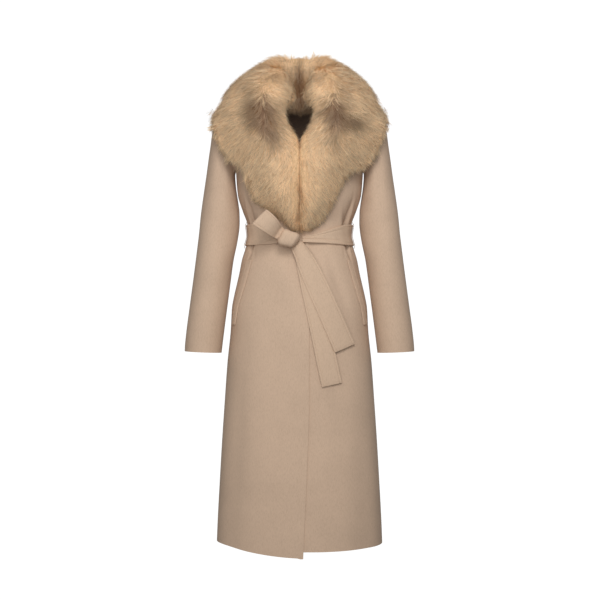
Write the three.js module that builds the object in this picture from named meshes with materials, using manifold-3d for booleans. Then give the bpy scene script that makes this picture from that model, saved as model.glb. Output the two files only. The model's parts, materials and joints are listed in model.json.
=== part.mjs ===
// A knee-length wool wrap coat with a long-pile shawl collar and a tie belt, worn shape, no wearer.
// Millimetres, +Z up, the front faces -Y. The origin is at the base of the neck between the shoulders.
// Right and left are the wearer's, so the right side is at -X.
import * as THREE from "three";
import Module from "manifold-3d";

const wasm = await Module();
wasm.setup();

// Sizes that the pieces share.
const WALL = 2.4; // double-faced wool
const SEAM = 0.3; // gap between pieces at a seam
const NECK_TOP = -12; // neck ring
const SHOULDER = -84; // shoulder point height
const UNDERARM = -240;
const ARM_MID = (SHOULDER + UNDERARM) / 2;
const ARM_HALF = (SHOULDER - UNDERARM) / 2;
const ARM_INSET = 0.1; // how far the armhole bites into the half width
const HEM = -1195;
const HEM_START = -700; // below this the rows lean to follow the hem
const COLLAR_GAP = 1.2; // pile to cloth below it
const BELT_TOP = -377;
const BELT_LOW = -432;
const BELT_THICK = 3.2;
const BELT_LIFT = 1.2; // belt to wool

// Outer surface of the wool at each height: half width, front and back depth, middle and roundness.
const BODY = [
  { z: -12, half: 74, front: 52, back: 50, mid: 8, power: 2.05 },
  { z: -24, half: 100, front: 68, back: 63, mid: 8, power: 2.1 },
  { z: -42, half: 132, front: 84, back: 77, mid: 7, power: 2.15 },
  { z: -62, half: 163, front: 96, back: 89, mid: 6, power: 2.2 },
  { z: -84, half: 192, front: 105, back: 97, mid: 4, power: 2.25 },
  { z: -110, half: 189, front: 112, back: 104, mid: 2, power: 2.3 },
  { z: -150, half: 180, front: 120, back: 111, mid: 0, power: 2.3 },
  { z: -200, half: 169, front: 126, back: 115, mid: 0, power: 2.3 },
  { z: -240, half: 165, front: 128, back: 115, mid: 0, power: 2.3 },
  { z: -270, half: 163, front: 127, back: 113, mid: 0, power: 2.3 },
  { z: -300, half: 160, front: 123, back: 109, mid: 0, power: 2.3 },
  { z: -343, half: 147, front: 113, back: 103, mid: 0, power: 2.3 },
  { z: -374, half: 136, front: 104, back: 97, mid: 0, power: 2.3 },
  { z: -406, half: 132, front: 101, back: 94, mid: 0, power: 2.3 },
  { z: -437, half: 140, front: 106, back: 100, mid: 0, power: 2.3 },
  { z: -468, half: 149.5, front: 112, back: 107, mid: 0, power: 2.3 },
  { z: -499, half: 155.5, front: 117, back: 112, mid: 0, power: 2.3 },
  { z: -530, half: 162.5, front: 121, back: 116, mid: 0, power: 2.3 },
  { z: -562, half: 170, front: 124, back: 119, mid: 0, power: 2.3 },
  { z: -593, half: 175.5, front: 126, back: 122, mid: 0, power: 2.3 },
  { z: -650, half: 178.5, front: 129, back: 125, mid: 0, power: 2.3 },
  { z: -733, half: 187, front: 132, back: 129, mid: 0, power: 2.3 },
  { z: -837, half: 194.5, front: 137, back: 134, mid: 0, power: 2.3 },
  { z: -941, half: 201.5, front: 142, back: 139, mid: 0, power: 2.3 },
  { z: -1045, half: 207.5, front: 146, back: 144, mid: 0, power: 2.3 },
  { z: -1149, half: 213, front: 150, back: 148, mid: 0, power: 2.3 },
  { z: -1230, half: 216, front: 153, back: 151, mid: 0, power: 2.3 },
];

// Folds of the body: angle from the front (+ is the left side), height span, width in degrees, depth.
const BODY_FOLDS = [
  { deg: -63, top: -290, low: -395, wide: 6.5, deep: 12, lean: 0.09 },
  { deg: 63, top: -290, low: -395, wide: 6.5, deep: 12, lean: -0.09 },
  { deg: -78, top: -310, low: -395, wide: 6, deep: 5, lean: 0.02 },
  { deg: 78, top: -310, low: -395, wide: 6, deep: 5, lean: -0.02 },
  { deg: -62, top: -425, low: -480, wide: 5, deep: 7, lean: 0.03 },
  { deg: 62, top: -425, low: -480, wide: 5, deep: 7, lean: -0.03 },
  { deg: 135, top: -290, low: -395, wide: 8, deep: 8, lean: 0.05 },
  { deg: -137, top: -300, low: -395, wide: 8, deep: 9, lean: -0.05 },
  { deg: 131, top: -425, low: -500, wide: 6, deep: 6, lean: -0.03 },
  { deg: -133, top: -425, low: -495, wide: 6, deep: 6, lean: 0.03 },
  { deg: 172, top: -300, low: -395, wide: 9, deep: 4, lean: 0.0 },
  { deg: -160, top: -640, low: -1400, wide: 15, deep: 5, lean: 0.0 },
  { deg: 150, top: -620, low: -1400, wide: 16, deep: 6, lean: 0.0 },
  { deg: 112, top: -660, low: -1400, wide: 13, deep: 4, lean: 0.0 },
  { deg: -108, top: -640, low: -1400, wide: 13, deep: 4, lean: 0.0 },
  { deg: -52, top: -660, low: -1400, wide: 12, deep: 3, lean: 0.0 },
  { deg: 48, top: -690, low: -1400, wide: 12, deep: 3, lean: 0.0 },
];

// Edge of each front, x at each height. The right one overlaps, the left one runs under it.
const RIGHT_EDGE = [
  { z: -12, x: -73 },
  { z: -45, x: -62 },
  { z: -91, x: -44 },
  { z: -122, x: -34 },
  { z: -151, x: -21 },
  { z: -176, x: -4 },
  { z: -202, x: 12 },
  { z: -232, x: 21 },
  { z: -262, x: 24 },
  { z: -830, x: 24 },
  { z: -960, x: 20 },
  { z: -1130, x: 12 },
  { z: -1230, x: 8 },
];
const LEFT_EDGE = [
  { z: -12, x: 73 },
  { z: -45, x: 62 },
  { z: -91, x: 44 },
  { z: -122, x: 34 },
  { z: -151, x: 21 },
  { z: -176, x: 4 },
  { z: -205, x: -18 },
  { z: -240, x: -48 },
  { z: -290, x: -80 },
  { z: -340, x: -86 },
  { z: -1230, x: -88 },
];

// Sleeve: its outer and inner side and its depth at each station down the arm, left side.
const SLEEVE = [
  { outX: 201, outZ: -89, inX: 166.6, inZ: -243, y: 2, deep: 60 },
  { outX: 211, outZ: -99, inX: 167.2, inZ: -248, y: 2, deep: 61 },
  { outX: 220.5, outZ: -116, inX: 167, inZ: -255, y: 2, deep: 62 },
  { outX: 227, outZ: -140, inX: 166.4, inZ: -264, y: 2, deep: 63 },
  { outX: 231, outZ: -170, inX: 165.4, inZ: -276, y: 1, deep: 63 },
  { outX: 236, outZ: -205, inX: 163.4, inZ: -292, y: 0, deep: 63 },
  { outX: 242, outZ: -250, inX: 159.6, inZ: -314, y: -1, deep: 62.5 },
  { outX: 249, outZ: -298, inX: 155.4, inZ: -340, y: -2, deep: 62 },
  { outX: 256, outZ: -350, inX: 154.8, inZ: -374, y: -4, deep: 61 },
  { outX: 261.5, outZ: -405, inX: 159.5, inZ: -417, y: -6, deep: 60 },
  { outX: 268.5, outZ: -465, inX: 169, inZ: -470, y: -9, deep: 58.5 },
  { outX: 276, outZ: -525, inX: 178, inZ: -526, y: -13, deep: 57 },
  { outX: 284, outZ: -587, inX: 186, inZ: -585, y: -17, deep: 55.5 },
  { outX: 291.5, outZ: -645, inX: 193.5, inZ: -644, y: -21, deep: 54 },
  { outX: 296, outZ: -690, inX: 199.5, inZ: -693, y: -24, deep: 53 },
  { outX: 296.5, outZ: -704, inX: 201.2, inZ: -708, y: -25, deep: 52.6 },
];

// Sleeve folds: turn round the sleeve (0 inner side, 90 front, 180 outer), station, width, depth.
const SLEEVE_FOLDS = [
  { turn: 40, row: 6.5, wideTurn: 34, wideRow: 0.6, deep: 4 },
  { turn: 60, row: 8.6, wideTurn: 40, wideRow: 0.7, deep: 3.5 },
  { turn: 30, row: 10.3, wideTurn: 36, wideRow: 0.7, deep: 3 },
  { turn: 300, row: 7.5, wideTurn: 40, wideRow: 0.7, deep: 4 },
  { turn: 320, row: 9.6, wideTurn: 38, wideRow: 0.7, deep: 3.5 },
  { turn: 95, row: 4.4, wideTurn: 16, wideRow: 2.6, deep: 3 },
  { turn: 262, row: 4.6, wideTurn: 17, wideRow: 2.6, deep: 3 },
];

// Fur collar, left side: inner edge, crest of the roll, middle and outer edge at each station.
const COLLAR_LEFT = [
  { ix: 0.15, iy: 34, iz: -62, tx: 0.15, ty: 58, tz: 66, mx: 0.15, my: 146, mz: -34, ox: 0.15, oy: 152, oz: -176 },
  { ix: 24, iy: 30, iz: -60, tx: 34, ty: 52, tz: 73, mx: 72, my: 134, mz: -30, ox: 84, oy: 144, oz: -172 },
  { ix: 42, iy: 16, iz: -54, tx: 62, ty: 34, tz: 74, mx: 128, my: 96, mz: -12, ox: 162, oy: 118, oz: -150 },
  { ix: 49, iy: -4, iz: -46, tx: 78, ty: 10, tz: 54, mx: 160, my: 48, mz: 4, ox: 214, oy: 66, oz: -118 },
  { ix: 50, iy: -22, iz: -40, tx: 82, ty: -18, tz: 44, mx: 166, my: -4, mz: 0, ox: 232, oy: 4, oz: -94 },
  { ix: 38, iy: -48, iz: -40, tx: 68, ty: -54, tz: 36, mx: 156, my: -58, mz: -8, ox: 230, oy: -40, oz: -104 },
  { ix: 16, iy: -74, iz: -44, tx: 44, ty: -92, tz: 26, mx: 134, my: -112, mz: -30, ox: 226, oy: -70, oz: -134 },
  { ix: 12, iy: -88, iz: -70, tx: 26, ty: -122, tz: -22, mx: 116, my: -146, mz: -76, ox: 211, oy: -82, oz: -176 },
  { ix: 36, iy: -104, iz: -96, tx: 42, ty: -136, tz: -82, mx: 110, my: -164, mz: -122, ox: 191, oy: -94, oz: -214 },
  { ix: 30, iy: -112, iz: -122, tx: 36, ty: -146, tz: -116, mx: 96, my: -170, mz: -156, ox: 160, oy: -104, oz: -242 },
  { ix: 15, iy: -119, iz: -150, tx: 22, ty: -152, tz: -146, mx: 78, my: -172, mz: -190, ox: 128, oy: -116, oz: -258 },
  { ix: 1.5, iy: -124, iz: -178, tx: 8, ty: -158, tz: -178, mx: 56, my: -172, mz: -226, ox: 104, oy: -122, oz: -290 },
  { ix: 0.8, iy: -126, iz: -236, tx: 7, ty: -160, tz: -240, mx: 42, my: -168, mz: -278, ox: 84, oy: -122, oz: -334 },
  { ix: 0.8, iy: -118, iz: -300, tx: 7, ty: -152, tz: -304, mx: 30, my: -156, mz: -330, ox: 62, oy: -112, oz: -372 },
  { ix: 0.8, iy: -108, iz: -352, tx: 6, ty: -136, tz: -354, mx: 20, my: -138, mz: -368, ox: 38, oy: -106, oz: -392 },
  { ix: 1, iy: -104, iz: -384, tx: 5, ty: -122, tz: -386, mx: 11, my: -122, mz: -392, ox: 19, oy: -103, oz: -402 },
];
// The right side lies a little lower at the shoulder and reaches further on the lapel.
const COLLAR_RIGHT_CHANGES = [
  { row: 2, tz: 72 },
  { row: 3, tz: 49, mz: 0 },
  { row: 4, tz: 39, mz: -4 },
  { row: 8, ox: 186, oz: -216 },
  { row: 9, mx: 98, ox: 156, oz: -238 },
  { row: 10, mx: 86, my: -170, ox: 144, oz: -262 },
  { row: 11, mx: 72, ox: 131, oy: -112, oz: -294 },
  { row: 12, mx: 58, mz: -274, ox: 114, oy: -112, oz: -326 },
  { row: 13, mx: 42, mz: -322, ox: 84, oy: -106, oz: -346 },
  { row: 14, mx: 25, mz: -362, ox: 47, oy: -104, oz: -372 },
];
const COLLAR_STEPS = 2; // loft rings between two stations
const COLLAR_POINTS = 10; // points along the top of a ring
const COLLAR_UNDER = 5; // points along its underside
const TORSO_POINTS = 44; // points round the form that the collar is cut by

// Belt round the waist, from the knot round the right side and back to the knot: turn, edges, swell.
const BELT = [
  { deg: -22, top: -384, low: -430, swell: 5 },
  { deg: -34, top: -380, low: -431, swell: 2 },
  { deg: -60, top: -377, low: -432, swell: 0 },
  { deg: -90, top: -377, low: -432, swell: 0 },
  { deg: -180, top: -378, low: -433, swell: 0 },
  { deg: -270, top: -377, low: -432, swell: 0 },
  { deg: -300, top: -378, low: -432, swell: 0.5 },
  { deg: -318, top: -386, low: -431, swell: 2.5 },
  { deg: -335, top: -397, low: -429, swell: 4 },
  { deg: -352, top: -408, low: -428, swell: 6.5 },
  { deg: -361, top: -412, low: -427, swell: 7.5 },
];
const BELT_RIDGES = 3;

// Strips that lie on the front: middle line, direction across, width and lift off the cloth.
const TAIL_FRONT = [
  { x: -14, z: -427, wide: 26, lift: 9, cup: 4 },
  { x: -3, z: -441, wide: 36, lift: 8, cup: 6 },
  { x: 6, z: -456, wide: 41, lift: 6.4, cup: 6 },
  { x: 17, z: -478, wide: 48, lift: 5.4, cup: 4 },
  { x: 34, z: -515, wide: 53, lift: 5, cup: 1.6 },
  { x: 52, z: -555, wide: 54, lift: 5, cup: 0 },
  { x: 71, z: -598, wide: 54, lift: 5, cup: 0 },
  { x: 91, z: -645, wide: 54, lift: 5.2, cup: 0 },
  { x: 112, z: -694, wide: 54, lift: 5.6, cup: 0 },
];
const TAIL_BACK = [
  { x: -8, z: -430, wide: 24, lift: 5, cup: 2 },
  { x: 2, z: -446, wide: 33, lift: 2.6, cup: 1.2 },
  { x: 8, z: -466, wide: 38, lift: 2.2, cup: 0.4 },
  { x: 19, z: -500, wide: 46, lift: 2, cup: 0 },
  { x: 31, z: -550, wide: 50, lift: 2, cup: 0 },
  { x: 44, z: -610, wide: 51, lift: 2, cup: 0 },
  { x: 57, z: -670, wide: 51, lift: 2, cup: 0 },
  { x: 69, z: -730, wide: 51, lift: 2.2, cup: 0 },
  { x: 81, z: -786, wide: 51, lift: 2.8, cup: 0 },
];
const STRIP = 2.4; // belt cloth where it hangs single, two layers pressed flat

// Bow loop: middle line of the folded strip from the knot out and back, its half width and depth.
const LOOP = [
  { x: -45, y: -123, z: -408, half: 15, turn: -32 },
  { x: -52, y: -124, z: -403, half: 16.5, turn: -34 },
  { x: -59, y: -131, z: -397, half: 18.5, turn: -37 },
  { x: -71, y: -141, z: -386, half: 22, turn: -40 },
  { x: -86, y: -150, z: -374, half: 24.5, turn: -42 },
  { x: -96, y: -157, z: -367, half: 25, turn: -44 },
  { x: -100, y: -163, z: -364, half: 24, turn: -45 },
  { x: -96, y: -168, z: -367, half: 25, turn: -44 },
  { x: -86, y: -167, z: -374, half: 24.5, turn: -42 },
  { x: -71, y: -161, z: -386, half: 22, turn: -40 },
  { x: -60, y: -148, z: -397, half: 18.5, turn: -37 },
  { x: -53, y: -137, z: -402, half: 16.5, turn: -34 },
  { x: -45, y: -134, z: -408, half: 15, turn: -32 },
];

// Knot: rings across it from the loop side to the gathered side.
const KNOT = [
  { x: -49, y: -127, z: -407, up: 14, deep: 8, turn: -30 },
  { x: -45, y: -129, z: -410, up: 20, deep: 15, turn: -30 },
  { x: -37, y: -130, z: -414, up: 23, deep: 18.5, turn: -31 },
  { x: -26, y: -130, z: -419, up: 23, deep: 19.5, turn: -33 },
  { x: -16, y: -129, z: -423, up: 21.5, deep: 18.5, turn: -35 },
  { x: -10, y: -128, z: -426, up: 18, deep: 15, turn: -37 },
  { x: -6, y: -126, z: -427.5, up: 12, deep: 9, turn: -38 },
];

// Pocket welts: middle line by height and share of the half width, left side.
const WELT = [
  { z: -470, share: 0.845 },
  { z: -500, share: 0.865 },
  { z: -550, share: 0.89 },
  { z: -600, share: 0.922 },
  { z: -636, share: 0.945 },
];
const WELT_HALF = 9.5;

// Curves, tables and points on the body.
const smooth = (t) => {
  const c = Math.min(1, Math.max(0, t));
  return c * c * (3 - 2 * c);
};
const mix = (a, b, t) => a + (b - a) * t;

// Reads a table at a value of its key column, with a curve that never overshoots its rows.
function read(table, key, value, column) {
  const sign = Math.sign(table[table.length - 1][key] - table[0][key]);
  const at = (i) => table[i][key] * sign;
  const v = value * sign;
  const last = table.length - 1;
  if (v <= at(0)) return table[0][column];
  if (v >= at(last)) return table[last][column];
  let i = 0;
  while (v > at(i + 1)) i += 1;
  const step = (k) => at(k + 1) - at(k);
  const rise = (k) => (table[k + 1][column] - table[k][column]) / step(k);
  const slope = (k) => {
    if (k === 0) return rise(0);
    if (k === last) return rise(last - 1);
    const a = rise(k - 1);
    const b = rise(k);
    return a * b <= 0 ? 0 : (2 * a * b) / (a + b);
  };
  const h = step(i);
  const t = (v - at(i)) / h;
  const a = table[i][column];
  const b = table[i + 1][column];
  const t2 = t * t;
  const t3 = t2 * t;
  return (
    a * (2 * t3 - 3 * t2 + 1) +
    slope(i) * h * (t3 - 2 * t2 + t) +
    b * (3 * t2 - 2 * t3) +
    slope(i + 1) * h * (t3 - t2)
  );
}

// A table indexed by row number, read between its rows.
function between(table, row, column) {
  const rows = table.map((r, i) => ({ row: i, value: r[column] }));
  return read(rows, "row", row, "value");
}

const turnOf = (deg) => THREE.MathUtils.degToRad(deg);
const wrap = (deg) => ((((deg + 180) % 360) + 360) % 360) - 180;

function foldDepth(deg, z) {
  let sum = 0;
  for (const f of BODY_FOLDS) {
    if (z > f.top || z < f.low - 40) continue;
    const middle = f.deg + f.lean * (z - f.low);
    const off = wrap(deg - middle) / f.wide;
    if (Math.abs(off) > 3) continue;
    const grow = f.low < -1300 ? smooth((f.top - z) / 400) : 0;
    const span = (f.top - z) / (f.top - f.low);
    const above = f.top > -420 && f.low > -1300;
    const along = above ? smooth(span) : smooth((1 - span) * 1.2);
    const fade = above ? smooth((z - (f.low - 40)) / 30) : 1;
    sum += f.deep * Math.exp(-off * off) * (f.low < -1300 ? grow : along * fade);
  }
  return sum;
}

function bodyPoint(deg, z, plain = false) {
  const half = read(BODY, "z", z, "half");
  const power = read(BODY, "z", z, "power");
  const a = turnOf(deg);
  const s = Math.sin(a);
  const c = Math.cos(a);
  const deep = read(BODY, "z", z, c > 0 ? "front" : "back");
  const sx = Math.sign(s) * Math.pow(Math.abs(s), 2 / power);
  const sy = -Math.sign(c) * Math.pow(Math.abs(c), 2 / power);
  const mid = read(BODY, "z", z, "mid");
  const point = new THREE.Vector3(half * sx, mid + deep * sy, z);
  const sunk = plain ? 0 : foldDepth(deg, z);
  if (sunk > 0) {
    const n = new THREE.Vector3(sx / half, sy / deep, 0).normalize();
    point.addScaledVector(n, -sunk);
  }
  return point;
}

function bodyNormal(deg, z, plain = false) {
  const d = 1.2;
  const h = z > -90 ? 0.6 : 2;
  const zHigh = Math.min(z + h, NECK_TOP);
  const across = bodyPoint(deg + d, z, plain).sub(bodyPoint(deg - d, z, plain));
  const up = bodyPoint(deg, zHigh, plain).sub(bodyPoint(deg, zHigh - 2 * h, plain));
  return across.cross(up).normalize();
}

function onBody(deg, z, out) {
  return bodyPoint(deg, z).addScaledVector(bodyNormal(deg, z), out);
}

// The same without the folds, for what bridges them.
function overBody(deg, z, out) {
  return bodyPoint(deg, z, true).addScaledVector(bodyNormal(deg, z, true), out);
}

// The angle at which the front reaches x at height z.
function degAt(x, z) {
  const half = read(BODY, "z", z, "half");
  const power = read(BODY, "z", z, "power");
  const share = Math.min(1, Math.abs(x) / half);
  return Math.sign(x) * THREE.MathUtils.radToDeg(Math.asin(Math.pow(share, power / 2)));
}

// A point of the front above x, lifted off the wool.
const onFront = (x, z, out) => overBody(degAt(x, z), z, out);

// Share of the half width at which the armhole runs at height z.
function armShare(z) {
  const c = Math.min(1, Math.abs((z - ARM_MID) / ARM_HALF));
  return 1 - ARM_INSET * (1 - c * c);
}

function outerDeg(z) {
  if (z >= SHOULDER - 0.01 || z <= UNDERARM + 0.01) return 90;
  return degAt(armShare(z) * read(BODY, "z", z, "half"), z);
}

const hemRight = (deg) => -1194 - 27 * smooth((75 - Math.abs(deg)) / 90) - (deg > 0 ? 2 : 0);
const hemLeft = (deg) => -1199 - 5 * smooth((90 - deg) / 90);

function heightAt(z, hem) {
  if (z > HEM_START) return z;
  return HEM_START + ((z - HEM_START) * (hem - HEM_START)) / (HEM - HEM_START);
}

// Walls and lofts.
function meshOf(points, faces) {
  const geometry = new THREE.BufferGeometry();
  const flat = points.flatMap((p) => [p.x, p.y, p.z]);
  let volume = 0;
  for (const [a, b, c] of faces) {
    volume += points[a].dot(new THREE.Vector3().crossVectors(points[b], points[c]));
  }
  const index = faces.flatMap(([a, b, c]) => (volume < 0 ? [a, c, b] : [a, b, c]));
  geometry.setAttribute("position", new THREE.Float32BufferAttribute(flat, 3));
  geometry.setIndex(index);
  return geometry;
}

// A closed wall from a grid of outer points and the matching grid of inner points.
function wallOf(outer, inner, closed) {
  const rows = outer.length;
  const columns = outer[0].length;
  const points = [...outer.flat(), ...inner.flat()];
  const faces = [];
  const id = (side, i, j) => side * rows * columns + i * columns + (j % columns);
  const quad = (a, b, c, d) => faces.push([a, b, c], [a, c, d]);
  const last = closed ? columns : columns - 1;
  for (let i = 0; i < rows - 1; i += 1) {
    for (let j = 0; j < last; j += 1) {
      quad(id(0, i, j), id(0, i + 1, j), id(0, i + 1, j + 1), id(0, i, j + 1));
      quad(id(1, i, j), id(1, i, j + 1), id(1, i + 1, j + 1), id(1, i + 1, j));
    }
  }
  for (let j = 0; j < last; j += 1) {
    quad(id(0, 0, j), id(0, 0, j + 1), id(1, 0, j + 1), id(1, 0, j));
    quad(id(0, rows - 1, j), id(1, rows - 1, j), id(1, rows - 1, j + 1), id(0, rows - 1, j + 1));
  }
  if (!closed) {
    for (let i = 0; i < rows - 1; i += 1) {
      quad(id(0, i, 0), id(1, i, 0), id(1, i + 1, 0), id(0, i + 1, 0));
      const c = columns - 1;
      quad(id(0, i, c), id(0, i + 1, c), id(1, i + 1, c), id(1, i, c));
    }
  }
  return meshOf(points, faces);
}

// A closed solid through closed rings of points, with a cap at each end.
function loft(rings) {
  const count = rings[0].length;
  const points = rings.flat();
  const faces = [];
  for (let i = 0; i < rings.length - 1; i += 1) {
    for (let j = 0; j < count; j += 1) {
      const a = i * count + j;
      const b = i * count + ((j + 1) % count);
      faces.push([a, a + count, b + count], [a, b + count, b]);
    }
  }
  for (const end of [0, rings.length - 1]) {
    const middle = new THREE.Vector3();
    rings[end].forEach((p) => middle.add(p));
    points.push(middle.divideScalar(count));
    const hub = points.length - 1;
    for (let j = 0; j < count; j += 1) {
      const a = end * count + j;
      const b = end * count + ((j + 1) % count);
      faces.push(end === 0 ? [hub, a, b] : [hub, b, a]);
    }
  }
  return meshOf(points, faces);
}

function solidOf(geometry) {
  return new wasm.Manifold(
    new wasm.Mesh({
      numProp: 3,
      vertProperties: geometry.getAttribute("position").array,
      triVerts: new Uint32Array(geometry.index.array),
    }),
  );
}

function geometryOf(solid) {
  const mesh = solid.getMesh();
  const geometry = new THREE.BufferGeometry();
  geometry.setAttribute("position", new THREE.Float32BufferAttribute(mesh.vertProperties, 3));
  geometry.setIndex([...mesh.triVerts]);
  return geometry;
}

// Body panels.
// In the armhole the rows of the panels are at the points of the sleeve's first ring.
const SLEEVE_POINTS = 22;
const ARM_ROWS = Array.from({ length: SLEEVE_POINTS / 2 + 1 }, (_, i) => {
  return ARM_MID + ARM_HALF * Math.cos((2 * Math.PI * i) / SLEEVE_POINTS);
});
const ROWS = [
  ...[-12, -20, -31, -45, -62],
  ...ARM_ROWS,
  ...[-264, -290, -317, -343, -361, -380, -406, -428, -450, -476, -510, -560, -610, -670, -745],
  ...[-850, -960, -1080, -1195],
];

const BACK_COLUMNS = 20;

function panel(columns, startDeg, endDeg, hem, inset) {
  const outer = [];
  const inner = [];
  for (const z of ROWS) {
    const outerRow = [];
    const innerRow = [];
    for (let j = 0; j <= columns; j += 1) {
      const first = startDeg(z);
      const deg = mix(first, endDeg(z), j / columns);
      const height = heightAt(z, hem(deg));
      const p = bodyPoint(deg, height);
      const n = bodyNormal(deg, height);
      const under = inset(p.x, height);
      outerRow.push(p.clone().addScaledVector(n, -under));
      innerRow.push(p.clone().addScaledVector(n, -under - WALL));
    }
    outer.push(outerRow);
    inner.push(innerRow);
  }
  return wallOf(outer, inner, false);
}

// Half a seam gap as an angle at height z, at the side and shoulder seams.
const seamDeg = (z) => (z > UNDERARM + 0.01 && z < SHOULDER - 0.01 ? 0 : 0.03);

const frontRight = panel(
  12,
  (z) => degAt(read(RIGHT_EDGE, "z", z, "x"), z),
  (z) => -(outerDeg(z) - seamDeg(z)),
  hemRight,
  () => 0,
);
const frontLeft = panel(
  13,
  (z) => degAt(read(LEFT_EDGE, "z", z, "x"), z),
  (z) => outerDeg(z) - seamDeg(z),
  hemLeft,
  (x, z) => {
    const edge = read(RIGHT_EDGE, "z", z, "x");
    return (WALL + 0.6) * (1 - smooth((x - edge - 7) / 40)) * smooth((-150 - z) / 25);
  },
);
const back = panel(
  BACK_COLUMNS,
  (z) => backDeg(z),
  (z) => 360 - backDeg(z),
  (deg) => -1195 - 1 * Math.cos(turnOf(deg)),
  () => 0,
);

// Where the back starts at height z, measured the same way as the fronts.
function backDeg(z) {
  if (z >= SHOULDER - 0.01 || z <= UNDERARM + 0.01) return 90 + seamDeg(z);
  return 180 - outerDeg(z);
}

const facing = (() => {
  const outer = [];
  const inner = [];
  for (const z of ROWS.slice(1).filter((r) => r > -205)) {
    const outerRow = [];
    const innerRow = [];
    for (let j = 5; j <= BACK_COLUMNS - 5; j += 1) {
      const deg = mix(backDeg(z), 360 - backDeg(z), j / BACK_COLUMNS);
      outerRow.push(onBody(deg, z, -WALL - SEAM));
      innerRow.push(onBody(deg, z, -WALL - SEAM - 1.2));
    }
    outer.push(outerRow);
    inner.push(innerRow);
  }
  return wallOf(outer, inner, false);
})();

// Sleeves.

function armholePoint(turn, side) {
  const a = turnOf(turn);
  const z = ARM_MID - ARM_HALF * Math.cos(a);
  const x = armShare(z) * read(BODY, "z", z, "half");
  const deg = degAt(x, z);
  const p = bodyPoint(Math.sin(a) >= 0 ? deg : 180 - deg, z);
  return new THREE.Vector3(side * (p.x + 0.6), p.y, p.z);
}

function sleeveFold(turn, row) {
  let sum = 0;
  for (const f of SLEEVE_FOLDS) {
    const t = wrap(turn - f.turn) / f.wideTurn;
    const r = (row - f.row) / f.wideRow;
    sum += f.deep * Math.exp(-t * t - r * r);
  }
  return sum;
}

function sleeveRing(row, side, grow) {
  const outX = between(SLEEVE, row, "outX");
  const outZ = between(SLEEVE, row, "outZ");
  const inX = between(SLEEVE, row, "inX");
  const inZ = between(SLEEVE, row, "inZ");
  const midY = between(SLEEVE, row, "y");
  const deep = between(SLEEVE, row, "deep");
  const ring = [];
  for (let j = 0; j < SLEEVE_POINTS; j += 1) {
    const turn = (360 * j) / SLEEVE_POINTS;
    const a = turnOf(turn);
    const c = -Math.cos(a);
    const s = Math.sin(a);
    const length = Math.hypot(outX - inX, outZ - inZ);
    const fold = sleeveFold(turn, row);
    const k = 1 + (grow - fold) / (length / 2);
    const ky = 1 + (grow - fold) / deep;
    const x = mix(inX, outX, (1 + c * k) / 2);
    const z = mix(inZ, outZ, (1 + c * k) / 2);
    ring.push(new THREE.Vector3(side * x, midY - deep * ky * s, z));
  }
  return ring;
}

// The rings of a sleeve from the armhole to the cuff, grown or, with a negative value, shrunk.
function sleeveRings(side, grow) {
  const steps = 19;
  const centre = new THREE.Vector3(side * 178, 2, ARM_MID);
  const first = [];
  const loop = [];
  for (let j = 0; j < SLEEVE_POINTS; j += 1) {
    const p = armholePoint((360 * j) / SLEEVE_POINTS, side);
    const outward = p.clone().sub(centre);
    outward.x = 0;
    loop.push(p);
    first.push(p.clone().addScaledVector(outward.normalize(), grow));
  }
  const rings = [first];
  for (let i = 0; i <= steps; i += 1) {
    const row = (i / steps) * (SLEEVE.length - 1);
    const shape = 0.5 * Math.max(0, 1 - row / 3);
    const plain = sleeveRing(row, side, 0);
    const ring = sleeveRing(row, side, grow);
    // Near the armhole the section still leans toward the armhole's own shape.
    for (let j = 0; j < SLEEVE_POINTS; j += 1) ring[j].y += (loop[j].y - plain[j].y) * shape;
    rings.push(ring);
  }
  return rings;
}

const sleeve = (side) => wallOf(sleeveRings(side, 0), sleeveRings(side, -WALL), true);

// The upper sleeve as one full solid, which the pile of the collar keeps clear of.
function sleeveFull(side) {
  const rings = sleeveRings(side, COLLAR_GAP).slice(0, 11);
  const inside = rings[0].map((p) => new THREE.Vector3(p.x - side * 6, p.y, p.z));
  return loft([inside, ...rings]);
}

// Fur collar.
function collarRows(side) {
  if (side > 0) return COLLAR_LEFT;
  return COLLAR_LEFT.map((r, i) => ({
    ...r,
    ...(COLLAR_RIGHT_CHANGES.find((c) => c.row === i) || {}),
  }));
}

function collarRing(table, row, side) {
  const p = {};
  for (const name of Object.keys(table[0])) {
    if (name !== "row") p[name] = between(table, row, name);
  }
  const inner = new THREE.Vector3(side * p.ix, p.iy, p.iz);
  const crest = new THREE.Vector3(side * p.tx, p.ty, p.tz);
  const middle = new THREE.Vector3(side * p.mx, p.my, p.mz);
  const outer = new THREE.Vector3(side * p.ox, p.oy, p.oz);
  const below = read(
    [
      { row: 0, sink: 55 },
      { row: 4, sink: 46 },
      { row: 7, sink: 34 },
      { row: 15, sink: 22 },
    ],
    "row",
    row,
    "sink",
  );
  const curve = new THREE.CatmullRomCurve3([inner, crest, middle, outer], false, "centripetal");
  const ring = curve.getSpacedPoints(COLLAR_POINTS - 1);
  const chord = outer.clone().sub(inner);
  const lift = middle.clone().sub(inner);
  const up = lift.addScaledVector(chord, -lift.dot(chord) / chord.lengthSq()).normalize();
  for (let j = COLLAR_UNDER; j > 0; j -= 1) {
    const t = j / (COLLAR_UNDER + 1);
    const sink = below * Math.sin(Math.PI * t);
    ring.push(inner.clone().lerp(outer, t).addScaledVector(up, -sink));
  }
  return ring;
}

function collarFull(side) {
  const table = collarRows(side);
  const last = table.length - 1;
  const rings = [];
  for (let i = 0; i <= last * COLLAR_STEPS; i += 1) {
    rings.push(collarRing(table, i / COLLAR_STEPS, side));
  }
  return solidOf(loft(rings));
}

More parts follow.
